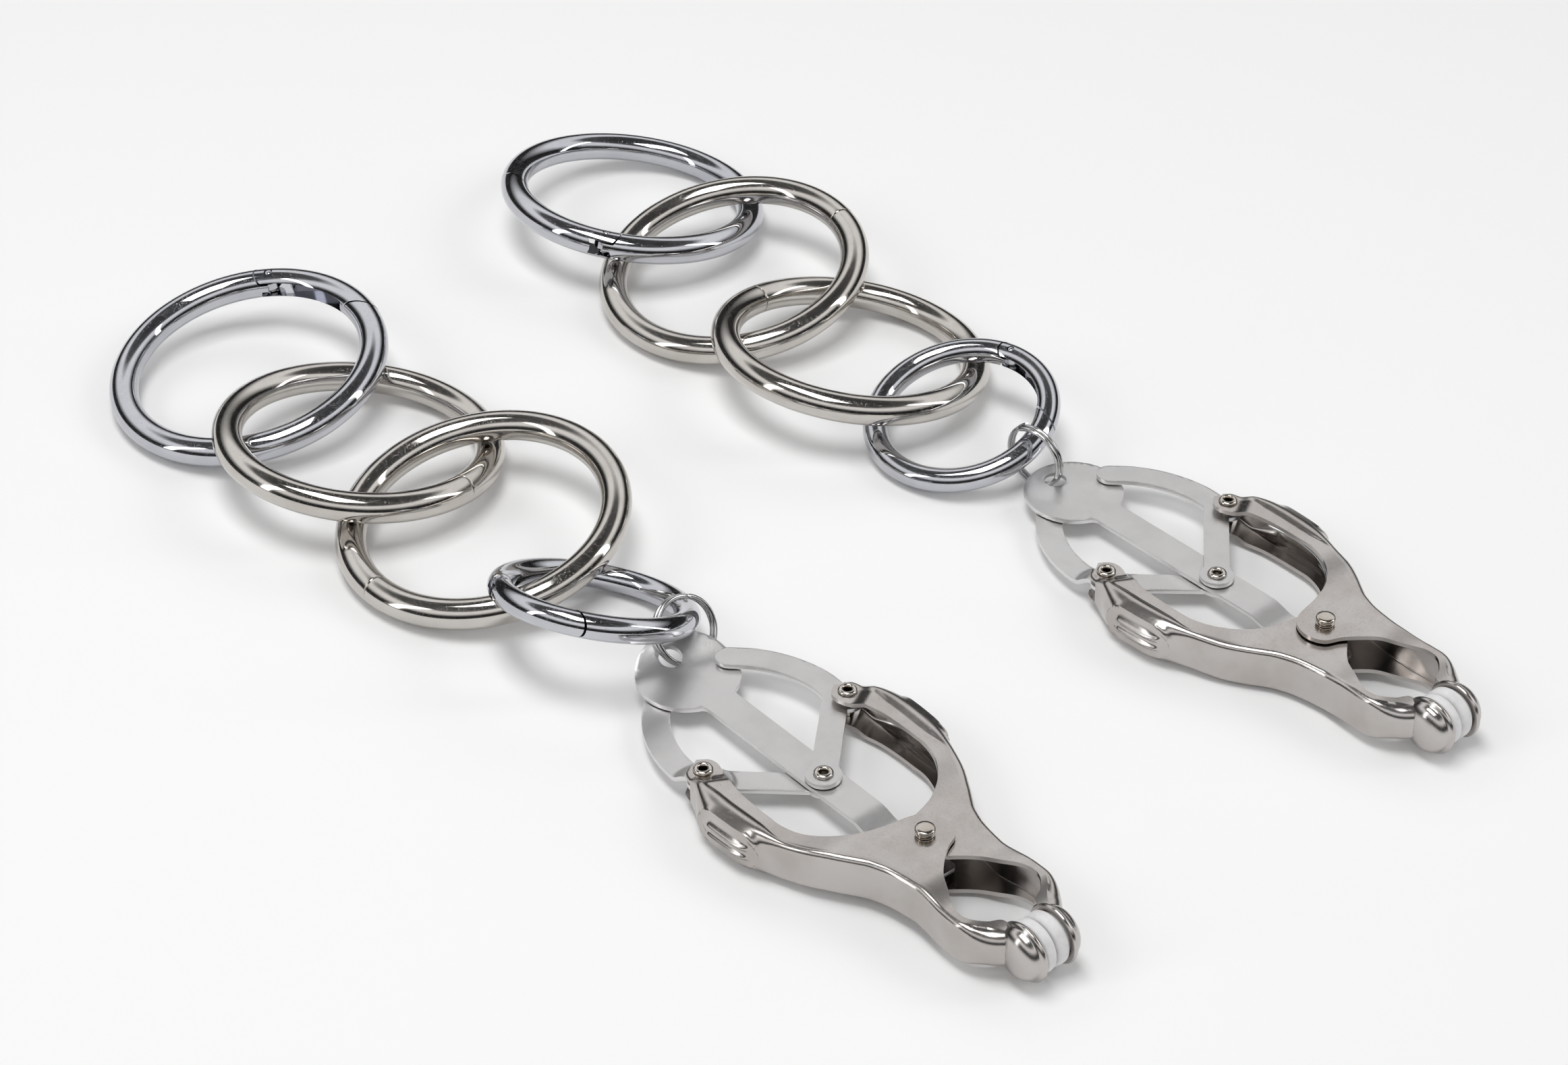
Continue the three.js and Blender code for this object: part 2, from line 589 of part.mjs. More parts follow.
/** The split ring passes through the tab's hole; its middle rises from there along its plane. */
function addSplitRing(parent, chain) {
  const { heading, rise, lean } = chain.split;
  const along = new THREE.Vector3(Math.cos(heading * DEG), Math.sin(heading * DEG), 0);
  const up = new THREE.Vector3(0, 0, 1).applyAxisAngle(along, -lean * DEG);
  const holder = new THREE.Group();
  holder.applyMatrix4(new THREE.Matrix4().makeBasis(along, up, along.clone().cross(up)));
  holder.position.set(0, TAB_HOLE_Y, plateUnderside(TAB_HOLE_Y, chain.tabCurl) + SHEET / 2)
    .addScaledVector(along, SPLIT_MEAN_R * Math.cos(rise * DEG))
    .addScaledVector(up, SPLIT_MEAN_R * Math.sin(rise * DEG));
  parent.add(holder);
  addPiece(holder, `${chain.prefix}split_ring`, splitRing(), 'spring');
}

function addGateRing(parent, chain, name, place, sizes, gate) {
  const frame = ringFrame(place, gate.hinge, gate.turned);
  const pieces = gateRingPieces(sizes.inner, sizes.wire, gate.span);
  parent.add(frame);
  addPiece(frame, `${chain.prefix}${name}_ring`, geometryOf(pieces.body), 'chrome');
  addPiece(frame, `${chain.prefix}${name}`, geometryOf(pieces.gate), 'chrome');
  addPiece(frame, `${chain.prefix}${name}_pin`, geometryOf(pieces.pin), 'chrome');
  addPiece(frame, `${chain.prefix}${name}_spring`, geometryOf(pieces.spring), 'spring');
}

function addPlainRing(parent, chain, name, place, seam) {
  const frame = ringFrame(place, seam, false);
  parent.add(frame);
  const ring = new THREE.TorusGeometry(place.meanR, place.wire / 2, 10, 40);
  addPiece(frame, `${chain.prefix}${name}`, ring, 'nickel');
}

function addChain(parent, chain) {
  const clamp = clampFrame(chain);
  parent.add(clamp);
  addClamp(clamp, chain);
  addSplitRing(clamp, chain);
  const [small, near, distant, large] = ringPlaces(chain);
  const smallSizes = { inner: SMALL_INNER, wire: SMALL_WIRE };
  const largeSizes = { inner: LARGE_INNER, wire: LARGE_WIRE };
  addGateRing(parent, chain, 'small_gate', small, smallSizes, chain.smallGate);
  addPlainRing(parent, chain, 'near_o_ring', near, chain.seams[0]);
  addPlainRing(parent, chain, 'far_o_ring', distant, chain.seams[1]);
  addGateRing(parent, chain, 'large_gate', large, largeSizes, chain.largeGate);
}

const pair = new THREE.Group();
CHAINS.forEach((chain) => addChain(pair, chain));

const group = new THREE.Group();
group.add(pair);
group.updateMatrixWorld(true);
const footprint = new THREE.Box3().setFromObject(pair, true);
const middle = footprint.getCenter(new THREE.Vector3());
pair.position.set(-middle.x, -middle.y, -footprint.min.z);
group.updateMatrixWorld(true);

export default group;
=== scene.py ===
"""Looks of a pair of squeeze clamps with ring chains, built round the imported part.

Shapes are made in millimetres in the frame of the piece they belong to, then placed in metres
in the part's own frame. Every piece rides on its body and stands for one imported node.
"""

import json
import logging
import math
from dataclasses import dataclass
from enum import Enum
from typing import Callable, Sequence

import bmesh
import bpy
import numpy as np
from mathutils import Matrix, Vector


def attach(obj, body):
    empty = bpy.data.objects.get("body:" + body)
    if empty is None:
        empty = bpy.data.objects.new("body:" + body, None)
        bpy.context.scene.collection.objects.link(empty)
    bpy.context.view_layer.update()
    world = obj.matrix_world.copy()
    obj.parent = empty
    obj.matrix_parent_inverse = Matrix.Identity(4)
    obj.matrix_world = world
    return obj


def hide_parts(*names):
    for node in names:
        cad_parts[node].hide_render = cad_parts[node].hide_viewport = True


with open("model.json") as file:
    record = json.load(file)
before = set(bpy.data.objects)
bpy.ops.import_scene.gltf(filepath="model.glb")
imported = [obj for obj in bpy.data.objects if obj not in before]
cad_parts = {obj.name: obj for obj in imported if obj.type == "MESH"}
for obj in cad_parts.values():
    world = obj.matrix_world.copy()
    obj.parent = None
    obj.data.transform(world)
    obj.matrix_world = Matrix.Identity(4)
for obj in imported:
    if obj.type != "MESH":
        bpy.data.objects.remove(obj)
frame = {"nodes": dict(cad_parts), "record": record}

log = logging.getLogger("clamps")
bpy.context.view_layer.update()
RECORD = frame["record"]
MM = 0.001

Point = tuple[float, float]
Outline = list[Point]
Colour = tuple[float, float, float]


# ---------------------------------------------------------------- shader maths


class Value:
    """One number or colour in a node tree; arithmetic on it adds nodes."""

    def __init__(self, recipe: "Recipe", socket: bpy.types.NodeSocket) -> None:
        """Keeps the recipe and the output socket."""
        self.recipe = recipe
        self.socket = socket

    def _math(self, kind: str, other: "Value | float") -> "Value":
        """Adds a Math node of that kind.

        Args:
            kind: the node's operation.
            other: the second operand.

        Returns:
            The node's output.
        """
        return self.recipe.node("ShaderNodeMath", {0: self, 1: other}, operation=kind)

    def __add__(self, other: "Value | float") -> "Value":
        """Sum."""
        return self._math("ADD", other)

    def __sub__(self, other: "Value | float") -> "Value":
        """Difference."""
        return self._math("SUBTRACT", other)

    def __rsub__(self, other: float) -> "Value":
        """A plain number less this."""
        return self * -1.0 + other

    def __mul__(self, other: "Value | float") -> "Value":
        """Product."""
        return self._math("MULTIPLY", other)

    __radd__ = __add__
    __rmul__ = __mul__

    def __gt__(self, other: "Value | float") -> "Value":
        """1 where it is larger, else 0."""
        return self._math("GREATER_THAN", other)

    def clamped(self) -> "Value":
        """The value held between 0 and 1."""
        return self.recipe.node("ShaderNodeClamp", {"Value": self})

    def eased(self, low: float, high: float) -> "Value":
        """A smooth step from 0 at low to 1 at high.

        Args:
            low: where the step starts.
            high: where it ends.

        Returns:
            The stepped value.
        """
        return self.recipe.node(
            "ShaderNodeMapRange",
            {"Value": self, "From Min": low, "From Max": high},
            interpolation_type="SMOOTHSTEP",
        )


class Recipe:
    """The node tree of one material, with one method that adds any node."""

    def __init__(self, name: str) -> None:
        """Makes an empty material of that name."""
        self.material = bpy.data.materials.new(name)
        self.material.use_nodes = True
        self.tree = self.material.node_tree
        self.shader = self.tree.nodes["Principled BSDF"]

    def node(self, kind: str, inputs: dict, out: "int | str" = 0, **settings: object) -> Value:
        """Adds a node.

        Args:
            kind: the node's type.
            inputs: socket name or number to a Value or a constant.
            out: the output wanted.
            **settings: properties of the node.

        Returns:
            The wanted output.
        """
        made = self.tree.nodes.new(kind)
        for key, value in settings.items():
            setattr(made, key, value)
        for key, value in inputs.items():
            if isinstance(value, Value):
                self.tree.links.new(value.socket, made.inputs[key])
            else:
                made.inputs[key].default_value = value
        return Value(self, made.outputs[out])

    def place(self) -> Value:
        """The point on the piece, in metres."""
        return self.node("ShaderNodeTexCoord", {}, out="Object")

    def noise(self, scale: float, detail: float, stretch: Sequence[float] = (1, 1, 1)) -> Value:
        """Cloudy noise between 0 and 1.

        Args:
            scale: cells for each metre.
            detail: octaves.
            stretch: scale along each axis.

        Returns:
            The noise.
        """
        spot = self.node("ShaderNodeMapping", {"Vector": self.place(), "Scale": tuple(stretch)})
        return self.node(
            "ShaderNodeTexNoise", {"Vector": spot, "Scale": scale, "Detail": detail, "Roughness": 0.6}
        )

    def blend(self, amount: Value, first: Sequence[float], second: Sequence[float]) -> Value:
        """A colour between two.

        Args:
            amount: 0 for the first, 1 for the second.
            first: linear red, green and blue.
            second: the same.

        Returns:
            The mixed colour.
        """
        return self.node(
            "ShaderNodeMix", {0: amount, 6: (*first, 1), 7: (*second, 1)}, out=2, data_type="RGBA"
        )

    def set(self, **values: "Value | float | Sequence[float]") -> None:
        """Sets or links sockets of the shader; underscores stand for spaces.

        Args:
            **values: socket name to value.
        """
        for key, value in values.items():
            socket = self.shader.inputs[key.replace("_", " ")]
            if isinstance(value, Value):
                self.tree.links.new(value.socket, socket)
            else:
                socket.default_value = value

    def bump(self, height: Value, strength: float, distance: float) -> Value:
        """A bumped normal.

        Args:
            height: the height field.
            strength: 0 to 1.
            distance: its full height in metres.

        Returns:
            The normal.
        """
        return self.node(
            "ShaderNodeBump", {"Height": height, "Strength": strength, "Distance": distance}
        )


class Grain(Enum):
    """Which way a metal's fine marks run."""

    NONE = (1.0, 1.0, 1.0)
    ALONG = (14.0, 1.0, 14.0)
    ACROSS = (1.0, 14.0, 14.0)


@dataclass(frozen=True)
class MetalFinish:
    """A plated or bare metal surface: two shades, how rough it is, its grain and its slow dents."""

    slot: str
    name: str
    colour: Colour
    tint: Colour
    roughness: float
    spread: float
    grain: Grain
    grain_height: float
    dents: float

    def build(self) -> bpy.types.Material:
        """Makes the material.

        Returns:
            The material.
        """
        recipe = Recipe(self.name)
        clouds = recipe.noise(110, 4)
        fine = recipe.noise(900, 5, self.grain.value)
        hairlines = recipe.noise(2600, 2, (1.0, 9.0, 3.0))
        marks = hairlines.eased(0.66, 0.72)
        recipe.set(
            Base_Color=recipe.blend(clouds.eased(0.35, 0.7), self.colour, self.tint),
            Metallic=1.0,
            Roughness=((fine - 0.5) * self.spread + marks * 0.06 + self.roughness).clamped(),
        )
        slow = recipe.noise(60, 2)
        height = fine * self.grain_height + marks * 0.25 + slow * self.dents
        recipe.set(Normal=recipe.bump(height, 0.35, 0.00004))
        return recipe.material


@dataclass(frozen=True)
class RubberFinish:
    """Matt moulded rubber."""

    slot: str = "rubber"
    name: str = "white rubber"
    colour: Colour = (0.80, 0.79, 0.79)
    tint: Colour = (0.70, 0.69, 0.69)

    def build(self) -> bpy.types.Material:
        """Makes the material.

        Returns:
            The material.
        """
        recipe = Recipe(self.name)
        clouds = recipe.noise(500, 4)
        skin = recipe.noise(3500, 3)
        recipe.set(
            Base_Color=recipe.blend(clouds.eased(0.4, 0.75), self.colour, self.tint),
            Roughness=((skin - 0.5) * 0.15 + 0.55).clamped(),
            Normal=recipe.bump(skin, 0.3, 0.00005),
            Subsurface_Weight=0.08,
            Subsurface_Radius=(0.001, 0.001, 0.001),
        )
        return recipe.material


FINISHES = (
    MetalFinish("satin_steel", "satin stamped steel", (0.53, 0.505, 0.488), (0.46, 0.43, 0.408),
                0.19, 0.14, Grain.ALONG, 0.5, 0.5),
    MetalFinish("brushed_sheet", "brushed sheet steel", (0.75, 0.74, 0.735), (0.68, 0.67, 0.665),
                0.32, 0.2, Grain.ACROSS, 0.9, 0.15),
    MetalFinish("warm_nickel", "warm polished nickel", (0.58, 0.555, 0.525), (0.52, 0.492, 0.458),
                0.09, 0.08, Grain.NONE, 0.1, 0.8),
    MetalFinish("bright_chrome", "bright chrome plate", (0.55, 0.555, 0.585), (0.49, 0.497, 0.53),
                0.05, 0.05, Grain.NONE, 0.08, 0.8),
    MetalFinish("rivet_nickel", "polished rivet nickel", (0.62, 0.59, 0.555), (0.48, 0.435, 0.385),
                0.13, 0.12, Grain.NONE, 0.3, 0.3),
    MetalFinish("spring_wire", "bright spring wire", (0.58, 0.58, 0.58), (0.48, 0.48, 0.48),
                0.14, 0.1, Grain.ALONG, 0.3, 0.1),
    RubberFinish(),
)
PAINT = {finish.slot: finish.build() for finish in FINISHES}


# ---------------------------------------------------------------- frames and mesh tools


@dataclass
class Place:
    """A frame in the part: an origin in millimetres and three axes as columns."""

    origin: np.ndarray
    axes: np.ndarray

    def matrix(self) -> Matrix:
        """The change from millimetres here to metres in the part.

        Returns:
            A 4 by 4 matrix.
        """
        full = np.eye(4)
        full[:3, :3] = self.axes * MM
        full[:3, 3] = self.origin * MM
        return Matrix(full.tolist())


class Shop:
    """Tools that make and cut meshes, in millimetres."""

    FAR = 9.0
    """Further up or down than any sheet of the clamp reaches."""

    @staticmethod
    def piece(name: str, points: Sequence[Sequence[float]],
              faces: Sequence[Sequence[int]]) -> bpy.types.Object:
        """A mesh object from points and faces."""
        mesh = bpy.data.meshes.new(name)
        mesh.from_pydata([tuple(map(float, point)) for point in points], [], faces)
        made = bpy.data.objects.new(name, mesh)
        bpy.context.collection.objects.link(made)
        return made

    @staticmethod
    def quads(count: int, width: int, around: bool, along: bool) -> list[tuple[int, ...]]:
        """Faces of a grid of points, numbered row by row; around and along close it."""
        faces = []
        for row in range(count if along else count - 1):
            after = (row + 1) % count
            for column in range(width if around else width - 1):
                beside = (column + 1) % width
                faces.append((row * width + column, row * width + beside,
                              after * width + beside, after * width + column))
        return faces

    @staticmethod
    def grid(name: str, rows: np.ndarray, around: bool = False, along: bool = False) -> bpy.types.Object:
        """A sheet of quads through rows of points.

        Args:
            name: the object's name.
            rows: points as rows by columns by 3.
            around: whether each row closes on itself.
            along: whether the last row joins the first.

        Returns:
            The object.
        """
        return Shop.piece(name, rows.reshape(-1, 3), Shop.quads(*rows.shape[:2], around, along))

    @staticmethod
    def lathe(name: str, profile: Sequence[Point], segments: int = 64) -> bpy.types.Object:
        """A solid of revolution about Z.

        Args:
            name: the object's name.
            profile: radius and height pairs from axis to axis, or a closed loop off the axis.
            segments: steps round.

        Returns:
            The object.
        """
        closed = profile[0][0] > 1e-6
        inner = list(profile) if closed else list(profile[1:-1])
        turn = np.linspace(0, 2 * math.pi, segments, endpoint=False)
        points = [(r * math.cos(a), r * math.sin(a), z) for r, z in inner for a in turn]
        faces = Shop.quads(len(inner), segments, True, closed)
        if not closed:
            last = len(points) - segments
            points += [(0, 0, profile[0][1]), (0, 0, profile[-1][1])]
            low, high = len(points) - 2, len(points) - 1
            for step in range(segments):
                beside = (step + 1) % segments
                faces.append((low, beside, step))
                faces.append((high, last + step, last + beside))
        return Shop.outward(Shop.piece(name, points, faces))

    @staticmethod
    def outward(made: bpy.types.Object) -> bpy.types.Object:
        """Turns a closed mesh's faces outwards."""
        work = bmesh.new()
        work.from_mesh(made.data)
        bmesh.ops.recalc_face_normals(work, faces=work.faces)
        work.to_mesh(made.data)
        work.free()
        return made

    @staticmethod
    def prism(name: str, outline: Outline, low: float, high: float) -> bpy.types.Object:
        """An upright prism of a plan outline."""
        count = len(outline)
        points = [(x, y, low) for x, y in outline] + [(x, y, high) for x, y in outline]
        faces = [list(range(count))[::-1], list(range(count, 2 * count))]
        for step in range(count):
            beside = (step + 1) % count
            faces.append([step, beside, count + beside, count + step])
        return Shop.outward(Shop.piece(name, points, faces))

    @staticmethod
    def disc(name: str, centre: Point, radius: float, low: float = -FAR,
             high: float = FAR) -> bpy.types.Object:
        """An upright cylinder, right through the clamp unless its ends are given."""
        return Shop.prism(name, Plan.circle(centre, radius, 64), low, high)

    @staticmethod
    def join(target: bpy.types.Object, tool: bpy.types.Object, how: str) -> bpy.types.Object:
        """Joins or cuts with another solid, which is used up.

        Args:
            target: the solid that stays.
            tool: the other solid.
            how: UNION, DIFFERENCE or INTERSECT.

        Returns:
            The target.
        """
        Shop.modify(target, "BOOLEAN", operation=how, solver="MANIFOLD", object=tool)
        bpy.data.objects.remove(tool)
        return target

    @staticmethod
    def modify(target: bpy.types.Object, kind: str, **settings: object) -> bpy.types.Object:
        """Adds a modifier with those settings and applies it to the mesh."""
        change = target.modifiers.new(kind.lower(), kind)
        for key, value in settings.items():
            setattr(change, key, value)
        return Shop.bake(target)

    @staticmethod
    def bake(target: bpy.types.Object) -> bpy.types.Object:
        """Applies every modifier to the mesh."""
        graph = bpy.context.evaluated_depsgraph_get()
        mesh = bpy.data.meshes.new_from_object(target.evaluated_get(graph))
        target.modifiers.clear()
        old = target.data
        target.data = mesh
        bpy.data.meshes.remove(old)
        return target

    @staticmethod
    def thicken(target: bpy.types.Object, depth: float) -> bpy.types.Object:
        """Gives a sheet its thickness, behind its faces."""
        return Shop.modify(target, "SOLIDIFY", thickness=depth, offset=-1, use_even_offset=False)

    @staticmethod
    def ease_edges(target: bpy.types.Object, width: float) -> bpy.types.Object:
        """Rounds sharp edges a little."""
        return Shop.modify(target, "BEVEL", width=width, segments=2, limit_method="ANGLE",
                           angle_limit=math.radians(50), harden_normals=False)

    @staticmethod
    def deliver(made: bpy.types.Object, place: Place, body: str, slot: str, crease: float) -> None:
        """Puts a finished piece in the part, in place of the node it is named after.

        Args:
            made: the piece, in its own millimetres.
            place: the frame it was made in.
            body: the body it rides on.
            slot: its finish, and the record's material slot.
            crease: edges sharper than this stay sharp, in degrees.
        """
        made.data.transform(place.matrix())
        if np.linalg.det(place.axes) < 0:
            made.data.flip_normals()
        made.data.materials.clear()
        made.data.materials.append(PAINT[slot])
        made.data.shade_smooth()
        made.data.set_sharp_from_angle(angle=math.radians(crease))
        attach(made, body)
        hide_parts(made.name.removesuffix("_skin"))
        log.info("%s: %d faces on %s", made.name, len(made.data.polygons), body)


class Plan:
    """Flat outlines, in millimetres."""

    @staticmethod
    def circle(centre: Point, radius: float, steps: int) -> Outline:
        """A circle's points."""
        return Plan.arc(centre, radius, 0, 360, steps)[:-1]

    @staticmethod
    def arc(centre: Point, radius: float, start: float, end: float, steps: int) -> Outline:
        """Points along an arc, angles in degrees."""
        turn = np.radians(np.linspace(start, end, steps + 1))
        return [(centre[0] + radius * math.cos(a), centre[1] + radius * math.sin(a)) for a in turn]

    @staticmethod
    def smooth(points: Sequence[Sequence[float]], steps: int, closed: bool = False) -> np.ndarray:
        """A smooth line through points.

        Args:
            points: the points, of any dimension.
            steps: samples from each point to the next.
            closed: whether it ends where it starts.

        Returns:
            The samples.
        """
        given = np.array(points, float)
        count = len(given)
        if closed:
            padded = np.vstack([given[-1:], given, given[:2]])
            spans = count
        else:
            padded = np.vstack([2 * given[0] - given[1], given, 2 * given[-1] - given[-2]])
            spans = count - 1
        out = []
        for span in range(spans):
            p0, p1, p2, p3 = padded[span:span + 4]
            for t in np.linspace(0, 1, steps, endpoint=False):
                out.append(0.5 * (2 * p1 + (p2 - p0) * t + (2 * p0 - 5 * p1 + 4 * p2 - p3) * t * t
                                  + (3 * p1 - p0 - 3 * p2 + p3) * t ** 3))
        if not closed:
            out.append(given[-1])
        return np.array(out)

    @staticmethod
    def strip(points: Sequence[Point], width: float) -> Outline:
        """The outline of a band of one width round a line, with round ends."""
        line = np.array(points, float)
        along = np.gradient(line, axis=0)
        along /= np.linalg.norm(along, axis=1)[:, None]
        side = np.stack([-along[:, 1], along[:, 0]], axis=1) * width / 2

        def cap(centre: np.ndarray, spoke: np.ndarray) -> list[Point]:
            """Half a turn clockwise from a spoke."""
            out = []
            for a in np.radians(np.linspace(0, -180, 17))[1:-1]:
                turn = np.array([[math.cos(a), -math.sin(a)], [math.sin(a), math.cos(a)]])
                out.append(tuple(centre + turn @ spoke))
            return out

        left = [tuple(p) for p in line + side]
        right = [tuple(p) for p in (line - side)[::-1]]
        return left + cap(line[-1], side[-1]) + right + cap(line[0], -side[0])

    @staticmethod
    def flip(points: Sequence[Point], side: float) -> Outline:
        """The points with x times side."""
        return [(x * side, y) for x, y in points]


def eased(value: float, low: float, high: float) -> float:
    """A smooth step from 0 at low to 1 at high."""
    t = min(max((value - low) / (high - low), 0.0), 1.0)
    return t * t * (3 - 2 * t)


# ---------------------------------------------------------------- swept wires


class WireTree:
    """A node tree that sweeps a round wire along a line of points."""

    def __init__(self) -> None:
        """Builds the tree with inputs for the wire's radius, its sides and its finish."""
        tree = bpy.data.node_groups.new("swept wire", "GeometryNodeTree")
        face = tree.interface
        face.new_socket("Line", in_out="INPUT", socket_type="NodeSocketGeometry")
        self.radius = face.new_socket("Wire Radius", in_out="INPUT", socket_type="NodeSocketFloat")
        self.sides = face.new_socket("Sides", in_out="INPUT", socket_type="NodeSocketInt")
        self.finish = face.new_socket("Finish", in_out="INPUT", socket_type="NodeSocketMaterial")
        face.new_socket("Wire", in_out="OUTPUT", socket_type="NodeSocketGeometry")
        add = tree.nodes.new
        start, end = add("NodeGroupInput"), add("NodeGroupOutput")
        curve, sized = add("GeometryNodeMeshToCurve"), add("GeometryNodeSetCurveRadius")
        thick = add("GeometryNodeInputNamedAttribute")
        thick.data_type = "FLOAT"
        thick.inputs["Name"].default_value = "thick"
        circle, sweep = add("GeometryNodeCurvePrimitiveCircle"), add("GeometryNodeCurveToMesh")
        sweep.inputs["Fill Caps"].default_value = True
        real, dress = add("GeometryNodeRealizeInstances"), add("GeometryNodeSetMaterial")
        links = [
            (start, "Line", curve, "Mesh"), (curve, "Curve", sized, "Curve"),
            (thick, "Attribute", sized, "Radius"), (start, "Wire Radius", circle, "Radius"),
            (start, "Sides", circle, "Resolution"), (sized, "Curve", sweep, "Curve"),
            (circle, "Curve", sweep, "Profile Curve"), (sweep, "Mesh", real, "Geometry"),
            (real, "Geometry", dress, "Geometry"), (start, "Finish", dress, "Material"),
            (dress, "Geometry", end, "Wire"),
        ]
        if "Scale" in sweep.inputs:
            links.append((thick, "Attribute", sweep, "Scale"))
        for giver, out, taker, into in links:
            tree.links.new(giver.outputs[out], taker.inputs[into])
        self.tree = tree

    def sweep(self, name: str, line: np.ndarray, radius: float, sides: int, slot: str,
              ring_thick: "np.ndarray | None" = None) -> bpy.types.Object:
        """Makes one wire.

        Args:
            name: the piece's name.
            line: its middle line, in millimetres.
            radius: the wire's radius in millimetres.
            sides: steps round the wire.
            slot: its finish.
            ring_thick: for a line that closes on itself, its thickness at each point, 1 for full.

        Returns:
            The wire as a plain mesh.
        """
        count = len(line)
        closed = ring_thick is not None
        thick = ring_thick if closed else np.ones(count)
        mesh = bpy.data.meshes.new(name)
        edges = [(i, (i + 1) % count) for i in range(count if closed else count - 1)]
        mesh.from_pydata([tuple(map(float, point)) for point in line], edges, [])
        mark = mesh.attributes.new("thick", "FLOAT", "POINT")
        mark.data.foreach_set("value", np.array(thick, np.float32))
        made = bpy.data.objects.new(name, mesh)
        bpy.context.collection.objects.link(made)
        change = made.modifiers.new("wire", "NODES")
        change.node_group = self.tree
        change[self.radius.identifier] = radius
        change[self.sides.identifier] = sides
        change[self.finish.identifier] = PAINT[slot]
        return Shop.outward(Shop.bake(made))


# ---------------------------------------------------------------- the clamp


@dataclass
class Sizes:
    """Sizes that several pieces of a clamp share, in millimetres."""

    sheet: float = 0.7
    pivot_half: float = 4.05
    gap: float = 0.3
    grip_half: float = 3.4
    jaw_half: float = 3.5
    ear_half: float = 2.45
    rivet: Point = (13.86, 32.73)
    centre_y: float = 22.05
    jaw_y: float = -23.5
    pad_half: float = 2.3
    plate_low: float = -0.7
    plate_step: float = 1.0
    tab_y: float = 53.6
    tab_r: float = 8.1
    hole_y: float = 57.9
    hole_r: float = 1.85
    pin_hole_r: float = 1.4
    rivet_hole_r: float = 1.05
    spring_wire: float = 0.75

    @property
    def pad_back(self) -> float:
        """Distance of the cup's rim from the middle of the clamp."""
        return self.pad_half + self.gap / 2

    def on_jaw(self, made: bpy.types.Object, side: int, away: float) -> bpy.types.Object:
        """Turns a shape made about Z to face away from the jaw's middle, that far from it."""
        turn = Matrix.Rotation(math.radians(-90 * side), 4, "Y")
        made.data.transform(Matrix.Translation((-away * side, self.jaw_y, 0)) @ turn)
        return made


SIZES = Sizes()


